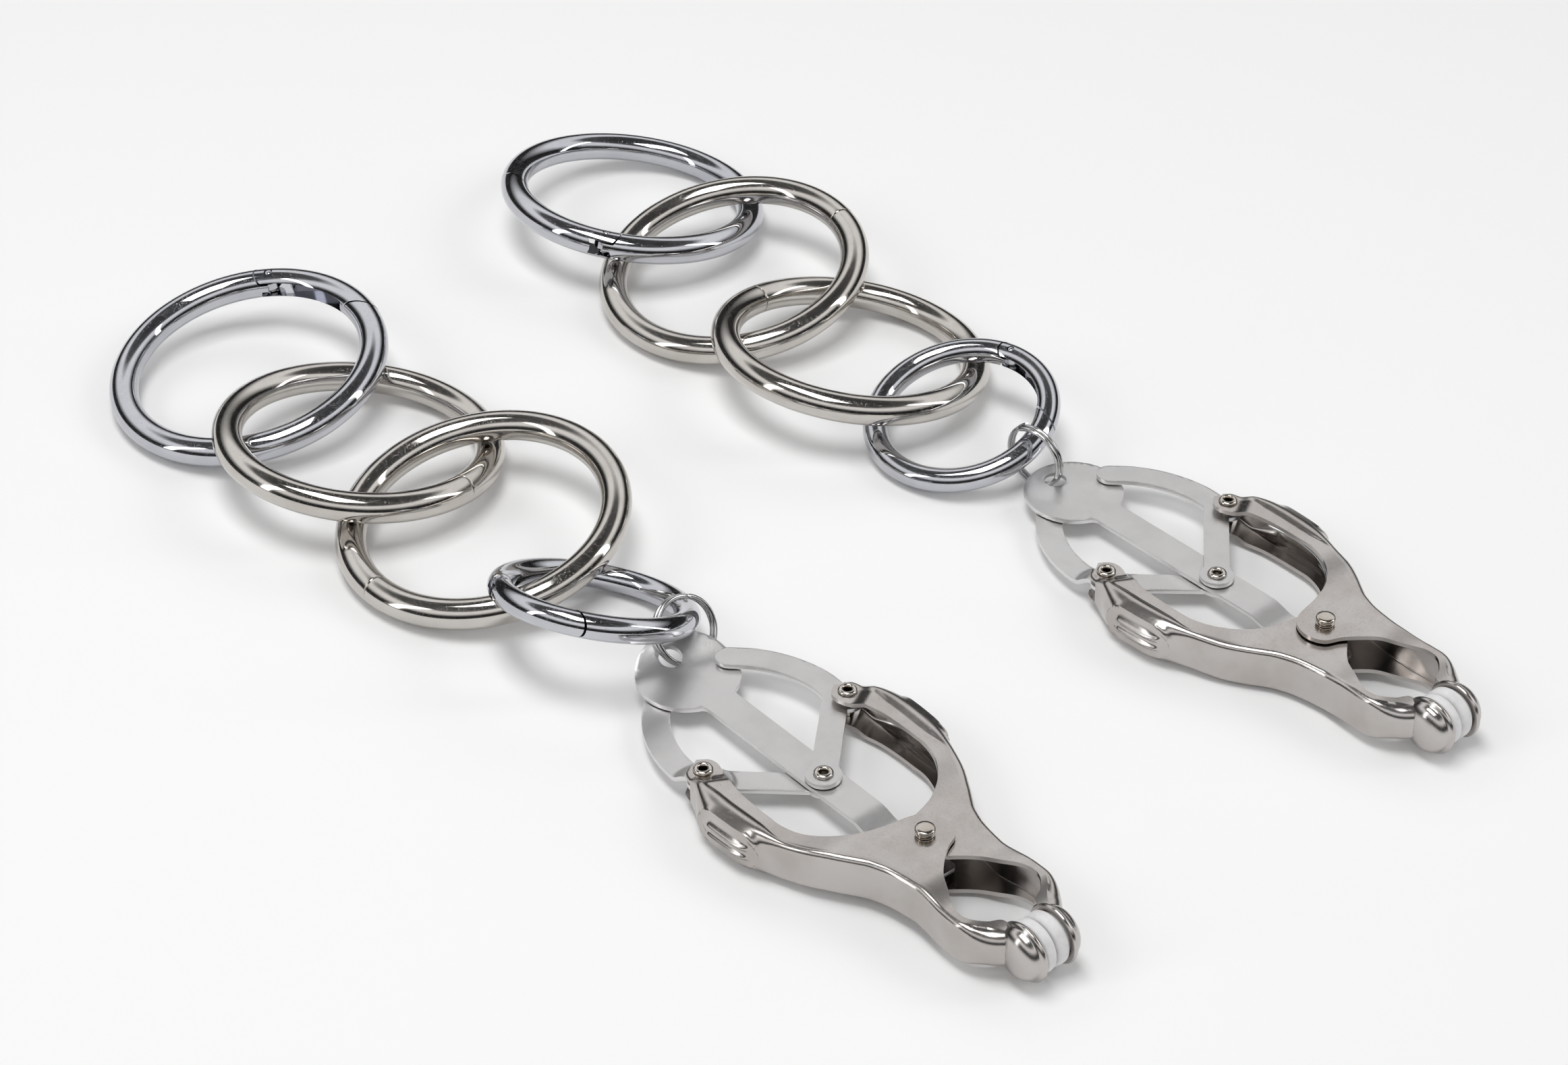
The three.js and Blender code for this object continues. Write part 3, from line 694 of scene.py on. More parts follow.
@dataclass
class Lever:
    """A stamped lever: a sheet channel with rolled corners, a bulging grip and a domed cup."""

    side: int
    upper_is_outer: bool
    cup_r: float = 4.5
    cup_depth: float = 2.9
    grip_y: float = 20.8
    grip_reach: float = 14.0
    spine: tuple[tuple[Point, Point], ...] = (
        ((-15.1, 35.05), (-13.2, 35.15)), ((-16.2, 34.1), (-11.75, 34.0)),
        ((-16.7, 32.4), (-11.36, 32.6)), ((-17.1, 30.4), (-11.7, 31.1)),
        ((-17.6, 28.2), (-12.7, 28.9)), ((-18.05, 25), (-13.6, 25)), ((-18.0, 21.5), (-13.85, 21.5)),
        ((-17.7, 17.5), (-13.85, 18)), ((-16.9, 13.3), (-13.7, 14.8)), ((-15.1, 8.4), (-12.5, 11.5)),
        ((-12.9, 4.6), (-10.2, 8.6)), ((-11.5, 2.5), (-7.0, 6.3)), ((-10.4, 0.8), (-3.2, 5.0)),
        ((-9.8, -0.6), (1.04, 4.17)), ((-9.3, -2.0), (3.3, 2.76)), ((-8.95, -3.5), (4.3, 0.0)),
        ((-8.7, -5.0), (3.3, -2.76)), ((-8.5, -6.5), (0.45, -4.28)), ((-8.4, -7.8), (-3.2, -7.4)),
        ((-8.5, -10.0), (-5.0, -10.3)), ((-8.7, -12.3), (-6.5, -12.9)), ((-8.8, -14.5), (-7.0, -14.8)),
        ((-8.7, -16.6), (-6.6, -16.6)), ((-8.1, -18.8), (-5.0, -18.3)), ((-6.6, -21.2), (-3.0, -19.4)),
        ((-4.8, -22.8), (-2.9, -21.6)),
    )

    def half_height(self, spot: Sequence[float], outer: bool) -> float:
        """Height of the flange above the middle plane.

        Args:
            spot: a point in plan.
            outer: whether this flange carries an outer ear.

        Returns:
            The height of its outer face.
        """
        x, y = abs(spot[0]), spot[1]
        ear = SIZES.pivot_half - (0.0 if outer else SIZES.sheet + SIZES.gap)
        height = SIZES.jaw_half - 0.5 * eased(-y, 16.5, 21)
        height += (ear - height) * eased(y, -13, -7)
        height += (SIZES.grip_half - ear) * eased(y, 5, 13)
        joggle = y - 0.55 * max(x - 12.5, 0.0)
        return height + (SIZES.ear_half - SIZES.grip_half) * eased(joggle, 27.2, 30.4)

    @staticmethod
    def roll(y: float) -> float:
        """Outer radius of the rolled corners, larger at the grip and at the neck of the jaw."""
        grip = eased(y, 12, 19.5) * (1 - eased(y, 24.5, 30))
        return 0.9 + 1.35 * grip + 1.0 * eased(-y, 16, 21)

    @staticmethod
    def emboss(along: float, up: float) -> float:
        """How far the grip's wall stands out: a dish, an oval rim and two long ribs.

        Args:
            along: distance from the middle of the grip.
            up: distance up the wall from its middle.

        Returns:
            The height of the pattern in millimetres.
        """
        dish = 1.75 * math.exp(-(((along + 1.2) / 7.4) ** 4)) * max(1 - (up / 4.6) ** 2, 0.0)
        reach = max(abs(along) - 3.6, 0.0)
        oval = math.hypot(reach, up) - 2.35
        rim = 0.36 * math.exp(-((oval / 0.28) ** 2))
        ribs = 0.0
        for height in (-0.85, 0.85):
            over = max(abs(along) - 3.5, 0.0)
            ribs += 0.5 * math.exp(-((math.hypot(over, up - height) / 0.4) ** 2))
        return dish + rim + ribs - 0.16 * eased(-oval, 0.25, 0.8)

    def section(self, edge: np.ndarray, wall: np.ndarray, normal: np.ndarray,
                along: float) -> np.ndarray:
        """Points round one cross-section, from the upper free edge to the lower.

        Args:
            edge: free edge of the flanges in plan.
            wall: outer face of the wall in plan.
            normal: outward direction of the wall.
            along: distance from the middle of the grip.

        Returns:
            The points.
        """
        top = self.half_height(wall, self.upper_is_outer)
        low = -self.half_height(wall, not self.upper_is_outer)
        middle, r = (top + low) / 2, self.roll(wall[1])
        inner = wall - normal * r
        out = []

        def round_wall(out_way: float, up: float, way: Point, height: float) -> None:
            """Adds a point of the rolled part, moved along its own normal by the pattern."""
            lift = self.emboss(along, height) if abs(along) < self.grip_reach else 0.0
            spot = inner + normal * (out_way + way[0] * lift)
            out.append((*spot, up + way[1] * lift))

        for t in np.linspace(0, 1, 12, endpoint=False):
            spot = edge + (inner - edge) * t
            out.append((*spot, self.half_height(spot, self.upper_is_outer)))
        for a in np.linspace(0, math.pi / 2, 12, endpoint=False):
            round_wall(r * math.sin(a), top - r * (1 - math.cos(a)), (math.sin(a), math.cos(a)),
                       top - r - middle + r * (math.pi / 2 - a))
        for z in np.linspace(top - r, low + r, 30):
            round_wall(r, z, (1.0, 0.0), z - middle)
        for a in np.linspace(math.pi / 2, 0, 13)[1:]:
            round_wall(r * math.sin(a), low + r * (1 - math.cos(a)), (math.sin(a), -math.cos(a)),
                       low + r - middle - r * (math.pi / 2 - a))
        for t in np.linspace(1, 0, 13)[1:]:
            spot = edge + (inner - edge) * t
            out.append((*spot, -self.half_height(spot, not self.upper_is_outer)))
        return np.array(out)

    def skin(self, name: str) -> bpy.types.Object:
        """The channel as one folded sheet with its thickness."""
        walls = Plan.smooth([wall for wall, _ in self.spine], 10)
        edges = Plan.smooth([edge for _, edge in self.spine], 10)
        tangent = np.gradient(walls, axis=0)
        tangent /= np.linalg.norm(tangent, axis=1)[:, None]
        normals = np.stack([tangent[:, 1], -tangent[:, 0]], axis=1)
        steps = np.linalg.norm(np.diff(walls, axis=0), axis=1)
        run = np.concatenate([[0], np.cumsum(steps)])
        middle = float(np.interp(-self.grip_y, -walls[:, 1], run))
        rows = np.array([
            self.section(edges[i], walls[i], normals[i], run[i] - middle) for i in range(len(walls))
        ])
        rows[:, :, 0] *= self.side
        made = Shop.grid(name, rows)
        wall_face = made.data.polygons[len(made.data.polygons) // 2]
        if wall_face.center.x * wall_face.normal.x + wall_face.center.z * wall_face.normal.z < 0:
            made.data.flip_normals()
        return Shop.thicken(made, SIZES.sheet)

    def cup(self, name: str) -> bpy.types.Object:
        """The domed jaw cup, open towards the pad."""
        r, d, t = self.cup_r, self.cup_depth, SIZES.sheet
        dome = [(0.0, 1.0), (0.25, 0.99), (0.45, 0.96), (0.62, 0.89), (0.76, 0.77), (0.85, 0.62),
                (0.89, 0.46), (0.9, 0.36), (0.93, 0.31), (0.99, 0.27), (1.03, 0.19), (1.03, 0.08),
                (1.0, 0.01), (0.97, 0.0)]
        inner = [(r - t, 0.0), (r - t, 0.25 * d), (0.62 * r, 0.58 * d), (0.3 * r, 0.74 * d), (0.0, 0.76 * d)]
        return Shop.lathe(name, [(out * r, up * d) for out, up in dome] + inner, 72)

    def build(self, name: str) -> bpy.types.Object:
        """The whole lever in the clamp's frame.

        Args:
            name: the piece's name.

        Returns:
            The lever.
        """
        made = self.skin(name)
        bore = self.cup_r - SIZES.sheet
        within = [(0, -1), (bore, -1), (bore, 0.7), (2.8, 1.7), (0, 2.2)]
        for how, shape in (
            ("UNION", self.cup(name + "_cup")),
            ("DIFFERENCE", Shop.disc("mouth", (0, 0), self.cup_r + 1.2, high=0)),
            ("DIFFERENCE", Shop.lathe("hollow", within, 64)),
        ):
            Shop.join(made, SIZES.on_jaw(shape, self.side, SIZES.pad_back), how)
        rivet = (-SIZES.rivet[0] * self.side, SIZES.rivet[1])
        window = [(-20, 32.2), (-14.9, 32.2), (-14.9, 40), (-20, 40)]
        for hole in (
            Shop.disc("bore", (0, 0), SIZES.pin_hole_r),
            Shop.disc("bore", rivet, SIZES.rivet_hole_r),
            Shop.prism("window", Plan.flip(window, self.side), -1.75, 1.75),
        ):
            Shop.join(made, hole, "DIFFERENCE")
        return made


@dataclass
class Sheetwork:
    """Flat stamped pieces: the pull plate and the two links."""

    curl: float
    link_lift: float = 1.6

    def plate_low(self, x: float, y: float) -> float:
        """Height of the plate's underside."""
        base = SIZES.plate_low - SIZES.plate_step * (1 - eased(y, 8.3, 12.7))
        far = y + 0.35 * x
        return base + self.curl * eased(far, SIZES.tab_y - 0.2, SIZES.tab_y + SIZES.tab_r + 0.6) ** 1.3

    def slab(self, name: str, span: tuple[float, float, float, float], step: float,
             low: Callable[[float, float], float]) -> bpy.types.Object:
        """A bent sheet whose underside follows a height rule.

        Args:
            name: the piece's name.
            span: least x, greatest x, least y and greatest y.
            step: grid step.
            low: height of the underside at a point.

        Returns:
            The sheet, before its outline is cut.
        """
        xs = np.linspace(span[0], span[1], max(int((span[1] - span[0]) / step), 2))
        ys = np.linspace(span[2], span[3], max(int((span[3] - span[2]) / step), 2))
        rows = np.array([[(x, y, low(x, y) + SIZES.sheet) for x in xs] for y in ys])
        made = Shop.grid(name, rows)
        if made.data.polygons[0].normal.z < 0:
            made.data.flip_normals()
        return Shop.thicken(made, SIZES.sheet)

    def plate(self, name: str) -> bpy.types.Object:
        """The pull plate: bar, stepped neck and round tab."""
        half = 2.8
        join = math.degrees(math.acos(half / SIZES.tab_r)) - 4
        neck_y = SIZES.tab_y - math.sqrt(SIZES.tab_r ** 2 - half ** 2)
        outline = [(-half, -3.3), (-half + 0.6, -3.9), (half - 0.6, -3.9), (half, -3.3),
                   (half, neck_y - 0.8), (half + 0.15, neck_y - 0.2)]
        outline += Plan.arc((0, SIZES.tab_y), SIZES.tab_r, -join, 180 + join, 72)
        outline += [(-half - 0.15, neck_y - 0.2), (-half, neck_y - 0.8)]
        made = self.slab(name, (-9, 9, -5, 63), 0.75, self.plate_low)
        Shop.join(made, Shop.prism("outline", outline, -Shop.FAR, Shop.FAR), "INTERSECT")
        slot = Plan.strip([(0, 0), (0, 1.2), (0, 2.2), (0, 3.29)], 2 * SIZES.pin_hole_r)
        Shop.join(made, Shop.prism("slot", slot, -Shop.FAR, Shop.FAR), "DIFFERENCE")
        Shop.join(made, Shop.disc("hole", (0, SIZES.centre_y), SIZES.rivet_hole_r), "DIFFERENCE")
        Shop.join(made, Shop.disc("hole", (0, SIZES.hole_y), SIZES.hole_r), "DIFFERENCE")
        return Shop.ease_edges(made, 0.1)

    def link(self, name: str, side: int, low: float, lift: float) -> bpy.types.Object:
        """A bent link with a boss at each end of its arm.

        Args:
            name: the piece's name.
            side: 1 for the right link, -1 for the left.
            low: height of its underside at the centre rivet.
            lift: how far it is joggled up at its lever.

        Returns:
            The link.
        """
        x0, y0 = SIZES.rivet
        elbow = (13.5, 34.8)
        arm = Plan.smooth([(0, SIZES.centre_y), (6.9, 28.6), elbow], 6)
        tail = Plan.smooth([elbow, (13.7, 38.4), (13.1, 42.2), (11.7, 46), (9.6, 49.4), (6.9, 52.2)], 8)

        def height(x: float, y: float) -> float:
            """Underside height with the joggle round the lever's rivet."""
            away = math.hypot(x - side * x0, y - y0)
            return low + lift * (1 - eased(away, 2.6, 5.4))

        xs = sorted([side * -3.5, side * 17])
        made = self.slab(name, (xs[0], xs[1], 18, 56), 0.5, height)
        centre, rivet = (0, SIZES.centre_y), (side * x0, y0)
        bands = [Plan.strip(Plan.flip(line, side), width) for line, width in ((arm, 4.0), (tail, 4.3))]
        whole, end = [Shop.prism("band", band, -Shop.FAR, Shop.FAR) for band in bands]
        for more in (end, Shop.disc("boss", centre, 2.75), Shop.disc("boss", rivet, 2.5)):
            Shop.join(whole, more, "UNION")
        Shop.join(made, whole, "INTERSECT")
        Shop.join(made, Shop.disc("hole", centre, 1.4), "DIFFERENCE")
        Shop.join(made, Shop.disc("hole", rivet, SIZES.rivet_hole_r), "DIFFERENCE")
        return Shop.ease_edges(made, 0.1)


@dataclass
class Clamp:
    """One squeeze clamp: levers, pads, pivot, spring, plate, links and rivets."""

    prefix: str
    upper: str
    curl: float
    place: Place

    def pad(self, name: str, side: int) -> bpy.types.Object:
        """A jaw pad: a round rubber disc with a plug in the cup."""
        profile = [(0, 0.15), (3.3, 0.15), (3.75, 0.22), (4.0, 0.42), (4.1, 0.75), (4.1, 1.75), (4.0, 1.98),
                   (3.7, 2.1), (3.45, 2.12), (3.45, 2.7), (0, 2.7)]
        return SIZES.on_jaw(Shop.lathe(name, profile, 72), side, 0)

    def pin(self, name: str) -> bpy.types.Object:
        """The pivot pin: a bright waisted end on top and a flat foot."""
        top = SIZES.pivot_half
        foot = top + 0.09
        below = [(0, 0.35), (1.75, 0.35), (1.95, 0.25), (2.0, 0.1), (2.0, 0), (1.3, 0)]
        waist = [(1.3, 0), (1.42, 0.02), (1.42, 0.12), (1.22, 0.22), (1.22, 0.34), (1.45, 0.44), (1.5, 0.55)]
        crown = [(1.5, 1.05), (1.44, 1.18), (1.3, 1.27), (0.9, 1.3), (0, 1.3)]
        profile = [(r, -foot - z) for r, z in below] + [(r, foot + z) for r, z in waist]
        return Shop.lathe(name, profile + [(r, top + z) for r, z in crown], 64)

    def eyelet(self, name: str, x: float, y: float, low: float, high: float) -> bpy.types.Object:
        """A hollow rivet with rolled heads."""

        def head(z: float, up: int) -> Outline:
            """A rolled head's half section."""
            rows = [(0.95, 0.06), (1.42, 0.06), (1.5, 0.14), (1.49, 0.26), (1.38, 0.42), (1.16, 0.53),
                    (0.95, 0.54), (0.78, 0.47), (0.68, 0.32)]
            return [(r, z + up * h) for r, h in rows]

        profile = head(high, 1) + [(0.66, high - 0.2), (0.66, low + 0.2)] + head(low, -1)[::-1]
        made = Shop.lathe(name, profile, 48)
        made.data.transform(Matrix.Translation((x, y, 0)))
        return made

    def spring_line(self) -> np.ndarray:
        """Middle line of the torsion spring."""
        wire = SIZES.spring_wire
        coil_r, pitch = 1.3 + SIZES.gap + wire, wire + 0.05
        low = SIZES.plate_low - SIZES.plate_step + SIZES.sheet + SIZES.gap + wire / 2

        def leg(side: int, z: float) -> list[tuple[float, float, float]]:
            """One leg, from the coil out along its handle."""
            plan = [(coil_r + 0.9, 4.2), (coil_r + 5.2, 6.7), (11.6, 9.6), (14.2, 13.8), (15.2, 19),
                    (14.8, 24.5)]
            return [(side * x, y, z) for x, y in plan]

        coil = []
        for step in range(61):
            turn = step / 24
            a = turn * 2 * math.pi + math.pi
            coil.append((coil_r * math.cos(a), coil_r * math.sin(a), low + pitch * turn))
        first = Plan.smooth(leg(-1, low)[::-1] + coil[:3], 8)
        last = Plan.smooth(coil[-3:] + leg(1, coil[-1][2]), 8)
        return np.vstack([first[:-1], coil[3:-3], last[1:]])

    def build(self) -> None:
        """Makes every piece of the clamp."""
        p = self.prefix
        flat = Sheetwork(self.curl)
        lower = SIZES.plate_low - 0.2 - SIZES.sheet
        upper = SIZES.plate_low + SIZES.sheet + 0.2
        x, y = SIZES.rivet
        made = []
        for side, word in ((1, "left"), (-1, "right")):
            handle, name = f"{word}_handle", p + word
            made += [
                (Lever(side, self.upper == word).build(f"{name}_lever_skin"), handle, "satin_steel", 40),
                (self.pad(f"{name}_pad_skin", side), handle, "rubber", 50),
                (self.eyelet(f"{name}_rivet_skin", -side * x, y, -SIZES.ear_half, SIZES.ear_half),
                 handle, "rivet_nickel", 60),
            ]
        made += [
            (self.pin(f"{p}pivot_pin_skin"), "pivot", "rivet_nickel", 50),
            (flat.plate(f"{p}pull_plate_skin"), "plate", "brushed_sheet", 30),
            (self.eyelet(f"{p}centre_rivet_skin", 0, SIZES.centre_y, lower, upper + SIZES.sheet),
             "plate", "rivet_nickel", 60),
            (flat.link(f"{p}left_link_skin", -1, lower, flat.link_lift), "left_arm", "brushed_sheet", 30),
            (flat.link(f"{p}right_link_skin", 1, upper, 0.0), "right_arm", "brushed_sheet", 30),
            (WIRES.sweep(f"{p}torsion_spring_skin", self.spring_line(), SIZES.spring_wire / 2, 16,
                         "spring_wire"), "pivot", "spring_wire", 50),
        ]
        for piece, body, slot, crease in made:
            Shop.deliver(piece, self.place, p + body, slot, crease)


# ---------------------------------------------------------------- the rings


PIN_SHARE = 0.13
"""A hinge pin's radius as a share of its ring's wire."""


@dataclass
class GateRing:
    """A ring whose gate swings inwards on a pin; the hinge is at angle 0 and the gate runs to span."""

    mean_r: float
    wire: float
    span: float

    def torus(self, name: str) -> bpy.types.Object:
        """The full round ring."""
        turn = np.linspace(0, 2 * math.pi, 256, endpoint=False)
        around = np.linspace(0, 2 * math.pi, 48, endpoint=False)
        r = self.wire / 2
        section = [(self.mean_r + r * math.cos(b), r * math.sin(b)) for b in around]
        rows = np.array([[(out * math.cos(a), out * math.sin(a), z) for out, z in section] for a in turn])
        return Shop.outward(Shop.grid(name, rows, around=True, along=True))

    def wedge(self, start: float, end: float, half: float, outer: float) -> bpy.types.Object:
        """A wedge of the ring's plane between two angles."""
        return Shop.prism("wedge", [(0.0, 0.0)] + Plan.arc((0, 0), outer, start, end, 24), -half, half)

    def gate_zone(self, shift: float) -> bpy.types.Object:
        """The space of the gate up to its slanting free end, moved by a gap."""
        reach = 3 * self.mean_r
        end, seam = math.radians(self.span), math.radians(self.span + 45)
        spot = np.array([math.cos(end), math.sin(end)]) * self.mean_r
        along = np.array([math.cos(seam), math.sin(seam)])
        back = np.array([along[1], -along[0]])
        start = spot - back * shift
        corners = [start - along * reach, start + along * reach,
                   start + along * reach + back * reach, start - along * reach + back * reach]
        zone = self.wedge(0, self.span + 12, 3 * self.wire, 2 * self.mean_r)
        side = Shop.prism("side", [tuple(c) for c in corners], -reach, reach)
        return Shop.join(zone, side, "INTERSECT")

    def gate_spring(self, name: str, low: float, high: float) -> bpy.types.Object:
        """The gate's small coil spring round the pin, in the slot between two heights."""
        turns = 2.5
        coil_r = PIN_SHARE * self.wire + 0.44
        wire_r = max(0.13, (high - low - 0.3) / (2 * turns + 2))
        a = np.linspace(0, turns * 2 * math.pi, 61)
        z = np.linspace(low + 0.15 + wire_r, high - 0.15 - wire_r, 61)
        coil = np.stack([self.mean_r + coil_r * np.cos(a), coil_r * np.sin(a), z], axis=1)
        return WIRES.sweep(name, coil, wire_r, 12, "spring_wire")

    def pin(self, name: str) -> bpy.types.Object:
        """The hinge pin, its ends rounded."""
        r, pin_r = self.wire / 2, PIN_SHARE * self.wire
        half = [(0, -r), (0.6 * pin_r, -r), (0.9 * pin_r, 0.08 - r), (pin_r, 0.2 - r)]
        made = Shop.lathe(name, half + [(out, -z) for out, z in half[::-1]], 40)
        made.data.transform(Matrix.Translation((self.mean_r, 0, 0)))
        return made

    def build(self, name: str, place: Place, body: str) -> None:
        """Makes the ring, its gate, its pin and the gate's spring.

        Args:
            name: the gate's node.
            place: the ring's frame, its hinge along X.
            body: the ring's body; the gate's body is its latch.
        """
        r, far, wide = self.wire / 2, 3 * self.wire, 2 * self.mean_r
        gap = SIZES.gap
        low, high, slot = -0.45 * r, 0.06 * r, 0.45 * r + gap
        hinge = (self.mean_r, 0.0)
        shoulder = math.degrees((r + gap + 1) / self.mean_r)
        tongue_zone = Shop.join(self.wedge(-shoulder, 0, far, wide),
                                Shop.disc("round", hinge, 0.8 * r, -far, far), "UNION")
        layer = Shop.prism("layer", [(0, -far), (wide, -far), (wide, far), (0, far)], low, high)
        tongue = Shop.join(Shop.join(self.torus("tongue"), tongue_zone, "INTERSECT"), layer, "INTERSECT")
        ring = self.torus(f"{name}_ring_skin")
        zone = Shop.join(self.gate_zone(0), Shop.disc("round", hinge, r, -far, far), "UNION")
        gate = Shop.join(self.torus(f"{name}_skin"), zone, "INTERSECT")
        bore = PIN_SHARE * self.wire + 0.09
        for target, tool, how in (
            (ring, self.gate_zone(gap), "DIFFERENCE"),
            (ring, Shop.disc("relief", hinge, r + gap, -far, far), "DIFFERENCE"),
            (ring, tongue, "UNION"),
            (ring, Shop.disc("bore", hinge, bore, -far, far), "DIFFERENCE"),
            (gate, self.wedge(-20, self.span - 9, slot, self.mean_r + r - 0.7), "DIFFERENCE"),
            (gate, Shop.disc("slot", hinge, 1.35 * r, -slot, slot), "DIFFERENCE"),
            (gate, Shop.disc("bore", hinge, bore, -far, far), "DIFFERENCE"),
        ):
            Shop.join(target, tool, how)
        pin = self.pin(f"{name}_pin_skin")
        spring = self.gate_spring(f"{name}_spring_skin", high, slot)
        Shop.deliver(ring, place, body, "bright_chrome", 28)
        Shop.deliver(gate, place, f"{body}_latch", "bright_chrome", 28)
        Shop.deliver(pin, place, body, "bright_chrome", 50)
        Shop.deliver(spring, place, body, "spring_wire", 50)


@dataclass
class PlainRing:
    """A closed ring with the faint groove of its butt joint at angle 0."""

    mean_r: float = 21.5
    wire: float = 5.0

    def build(self, name: str, place: Place, body: str) -> None:
        """Makes the ring.

        Args:
            name: its node.
            place: the ring's frame, its seam along X.
            body: its body.
        """
        coarse = np.linspace(1.5, 358.5, 190)
        close = np.linspace(-1.2, 1.2, 25)
        turn = np.radians(np.concatenate([close, coarse]))
        line = self.mean_r * np.stack([np.cos(turn), np.sin(turn), np.zeros(len(turn))], axis=1)
        off = np.degrees((turn + math.pi) % (2 * math.pi) - math.pi)
        thick = 1 - 0.085 * np.exp(-((off / 0.2) ** 2)) - 0.008 * np.exp(-((off / 1.0) ** 2))
        ring = WIRES.sweep(f"{name}_skin", line, self.wire / 2, 48, "warm_nickel", thick)
        Shop.deliver(ring, place, body, "warm_nickel", 25)


@dataclass
class SplitRing:
    """A thin ring of two turns of wire with stepped ends."""

    mean_r: float = 5.25
    wire: float = 0.75
    turns: int = 2

    def build(self, prefix: str, place: Place) -> None:
        """Makes the split ring in its frame, for the chain of that prefix."""
        steps = 96 * self.turns
        share = np.linspace(0, 1, steps + 1)
        turn = np.radians(share * self.turns * 360 + 60)
        z = (self.wire + 0.1) * self.turns * (share - 0.5)
        line = np.stack([self.mean_r * np.cos(turn), self.mean_r * np.sin(turn), z], axis=1)
        ring = WIRES.sweep(f"{prefix}split_ring_skin", line, self.wire / 2, 20, "spring_wire")
        Shop.deliver(ring, place, f"{prefix}split", "spring_wire", 50)


# ---------------------------------------------------------------- where things lie


@dataclass
class Chain:
    """One clamp with its rings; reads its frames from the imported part. Angles are in degrees.

    Attributes:
        prefix: start of its pieces' names.
        upper: the lever whose upper ear lies on top, left or right.
        curl: how far the tab's far edge turns up, in millimetres.
        small_span: angle that the small ring's gate covers.
        large_span: angle that the large ring's gate covers.
        split_heading: direction of the split ring in the clamp's plan.
        split_rise: direction from the tab's hole to the split ring's middle, in the ring's plane.
        split_lean: how far the split ring leans from upright.
        seams: where the plain rings' butt joints lie.
    """

    prefix: str
    upper: str
    curl: float
    small_span: float
    large_span: float
    split_heading: float
    split_rise: float
    split_lean: float
    seams: Point

    def joint(self, name: str) -> dict:
        """A joint of this chain in the record."""
        joints = {joint["name"]: joint for joint in RECORD["behaviour"]["joints"]}
        return joints[self.prefix + name]

    def clamp_place(self) -> Place:
        """The clamp's frame, its origin on the pivot's axis."""
        open_joint = self.joint("left_open")
        up = -np.array(open_joint["axis"])
        along = -np.array(self.joint("plate_slide")["axis"])
        across = np.cross(along, up)
        return Place(np.array(open_joint["pos_m"]) / MM, np.stack([across, along, up], axis=1))

    def plain_place(self, name: str, seam: float) -> Place:
        """A plain ring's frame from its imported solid.

        Args:
            name: the ring's node.
            seam: where its butt joint lies, in degrees from the part's X.

        Returns:
            The frame, with X at the joint.
        """
        points = self.solid(self.prefix + name)
        centre = (points.max(axis=0) + points.min(axis=0)) / 2
        normal = np.linalg.svd(points - centre)[2][2]
        normal *= np.sign(normal[2])
        across = np.array([math.cos(math.radians(seam)), math.sin(math.radians(seam)), 0.0])
        across -= normal * (across @ normal)
        across /= np.linalg.norm(across)
        return Place(centre, np.stack([across, np.cross(normal, across), normal], axis=1))

    @staticmethod
    def solid(node: str) -> np.ndarray:
        """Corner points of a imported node, in millimetres."""
        return np.array([vertex.co[:] for vertex in frame["nodes"][node].data.vertices]) / MM

    def gate_place(self, name: str, ring: GateRing) -> Place:
        """A gate ring's frame: axis and hinge from the gate's joint, and the centre, found by
        turning about the hinge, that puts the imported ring's surface at the wire's radius."""
        joint = self.joint(f"{name}_gate_open")
        axis = -np.array(joint["axis"])
        hinge = np.array(joint["pos_m"]) / MM
        points = self.solid(f"{self.prefix}{name}_gate_ring")
        mean_r = ring.mean_r
        across = np.cross([0.0, 1.0, 0.0], axis)
        across /= np.linalg.norm(across)
        along = np.cross(axis, across)
        local = (points - hinge) @ np.stack([across, along], axis=1)
        height = (points - hinge) @ axis
        best, best_miss = 0.0, math.inf
        for turn in np.radians(np.arange(0, 360, 0.05)):
            centre = mean_r * np.array([math.cos(turn), math.sin(turn)])
            reach = np.hypot(local[:, 0] - centre[0], local[:, 1] - centre[1])
            off = np.abs(np.hypot(reach - mean_r, height) - ring.wire / 2)
            miss = float(np.median(off)) + float(np.mean(np.minimum(off, 1.0)))
            if miss < best_miss:
                best, best_miss = turn, miss
        centre = hinge + mean_r * (across * math.cos(best) + along * math.sin(best))
        x_axis = (hinge - centre) / mean_r
        return Place(centre, np.stack([x_axis, np.cross(axis, x_axis), axis], axis=1))

    def split_place(self, clamp: Place) -> Place:
        """The split ring's frame: its plane from its heading and lean, its middle from its joint."""
        turn, lean = math.radians(self.split_heading), math.radians(self.split_lean)
        along = np.array([math.cos(turn), math.sin(turn), 0])
        side = np.array([-math.sin(turn), math.cos(turn), 0])
        up = side * math.sin(lean) + np.array([0, 0, 1]) * math.cos(lean)
        axes = clamp.axes @ np.stack([along, up, np.cross(along, up)], axis=1)
        joint = self.joint("split_swing")
        hole = np.array(joint["pos_m"]) / MM
        rise = math.radians(self.split_rise)
        centre = hole + SplitRing.mean_r * (axes[:, 0] * math.cos(rise) + axes[:, 1] * math.sin(rise))
        return Place(centre, axes)

    def build(self) -> None:
        """Makes the clamp and all its rings."""
        p = self.prefix
        clamp = self.clamp_place()
        Clamp(p, self.upper, self.curl, clamp).build()
        SplitRing().build(p, self.split_place(clamp))
        for name, ring in (
            ("small", GateRing(14.6, 4.05, self.small_span)),
            ("large", GateRing(PlainRing.mean_r, 4.9, self.large_span)),
        ):
            ring.build(f"{p}{name}_gate", self.gate_place(name, ring), p + name)
        for name, seam in zip(("near", "far"), self.seams):
            node = f"{name}_o_ring"
            PlainRing().build(p + node, self.plain_place(node, seam), p + name)


# ---------------------------------------------------------------- studio


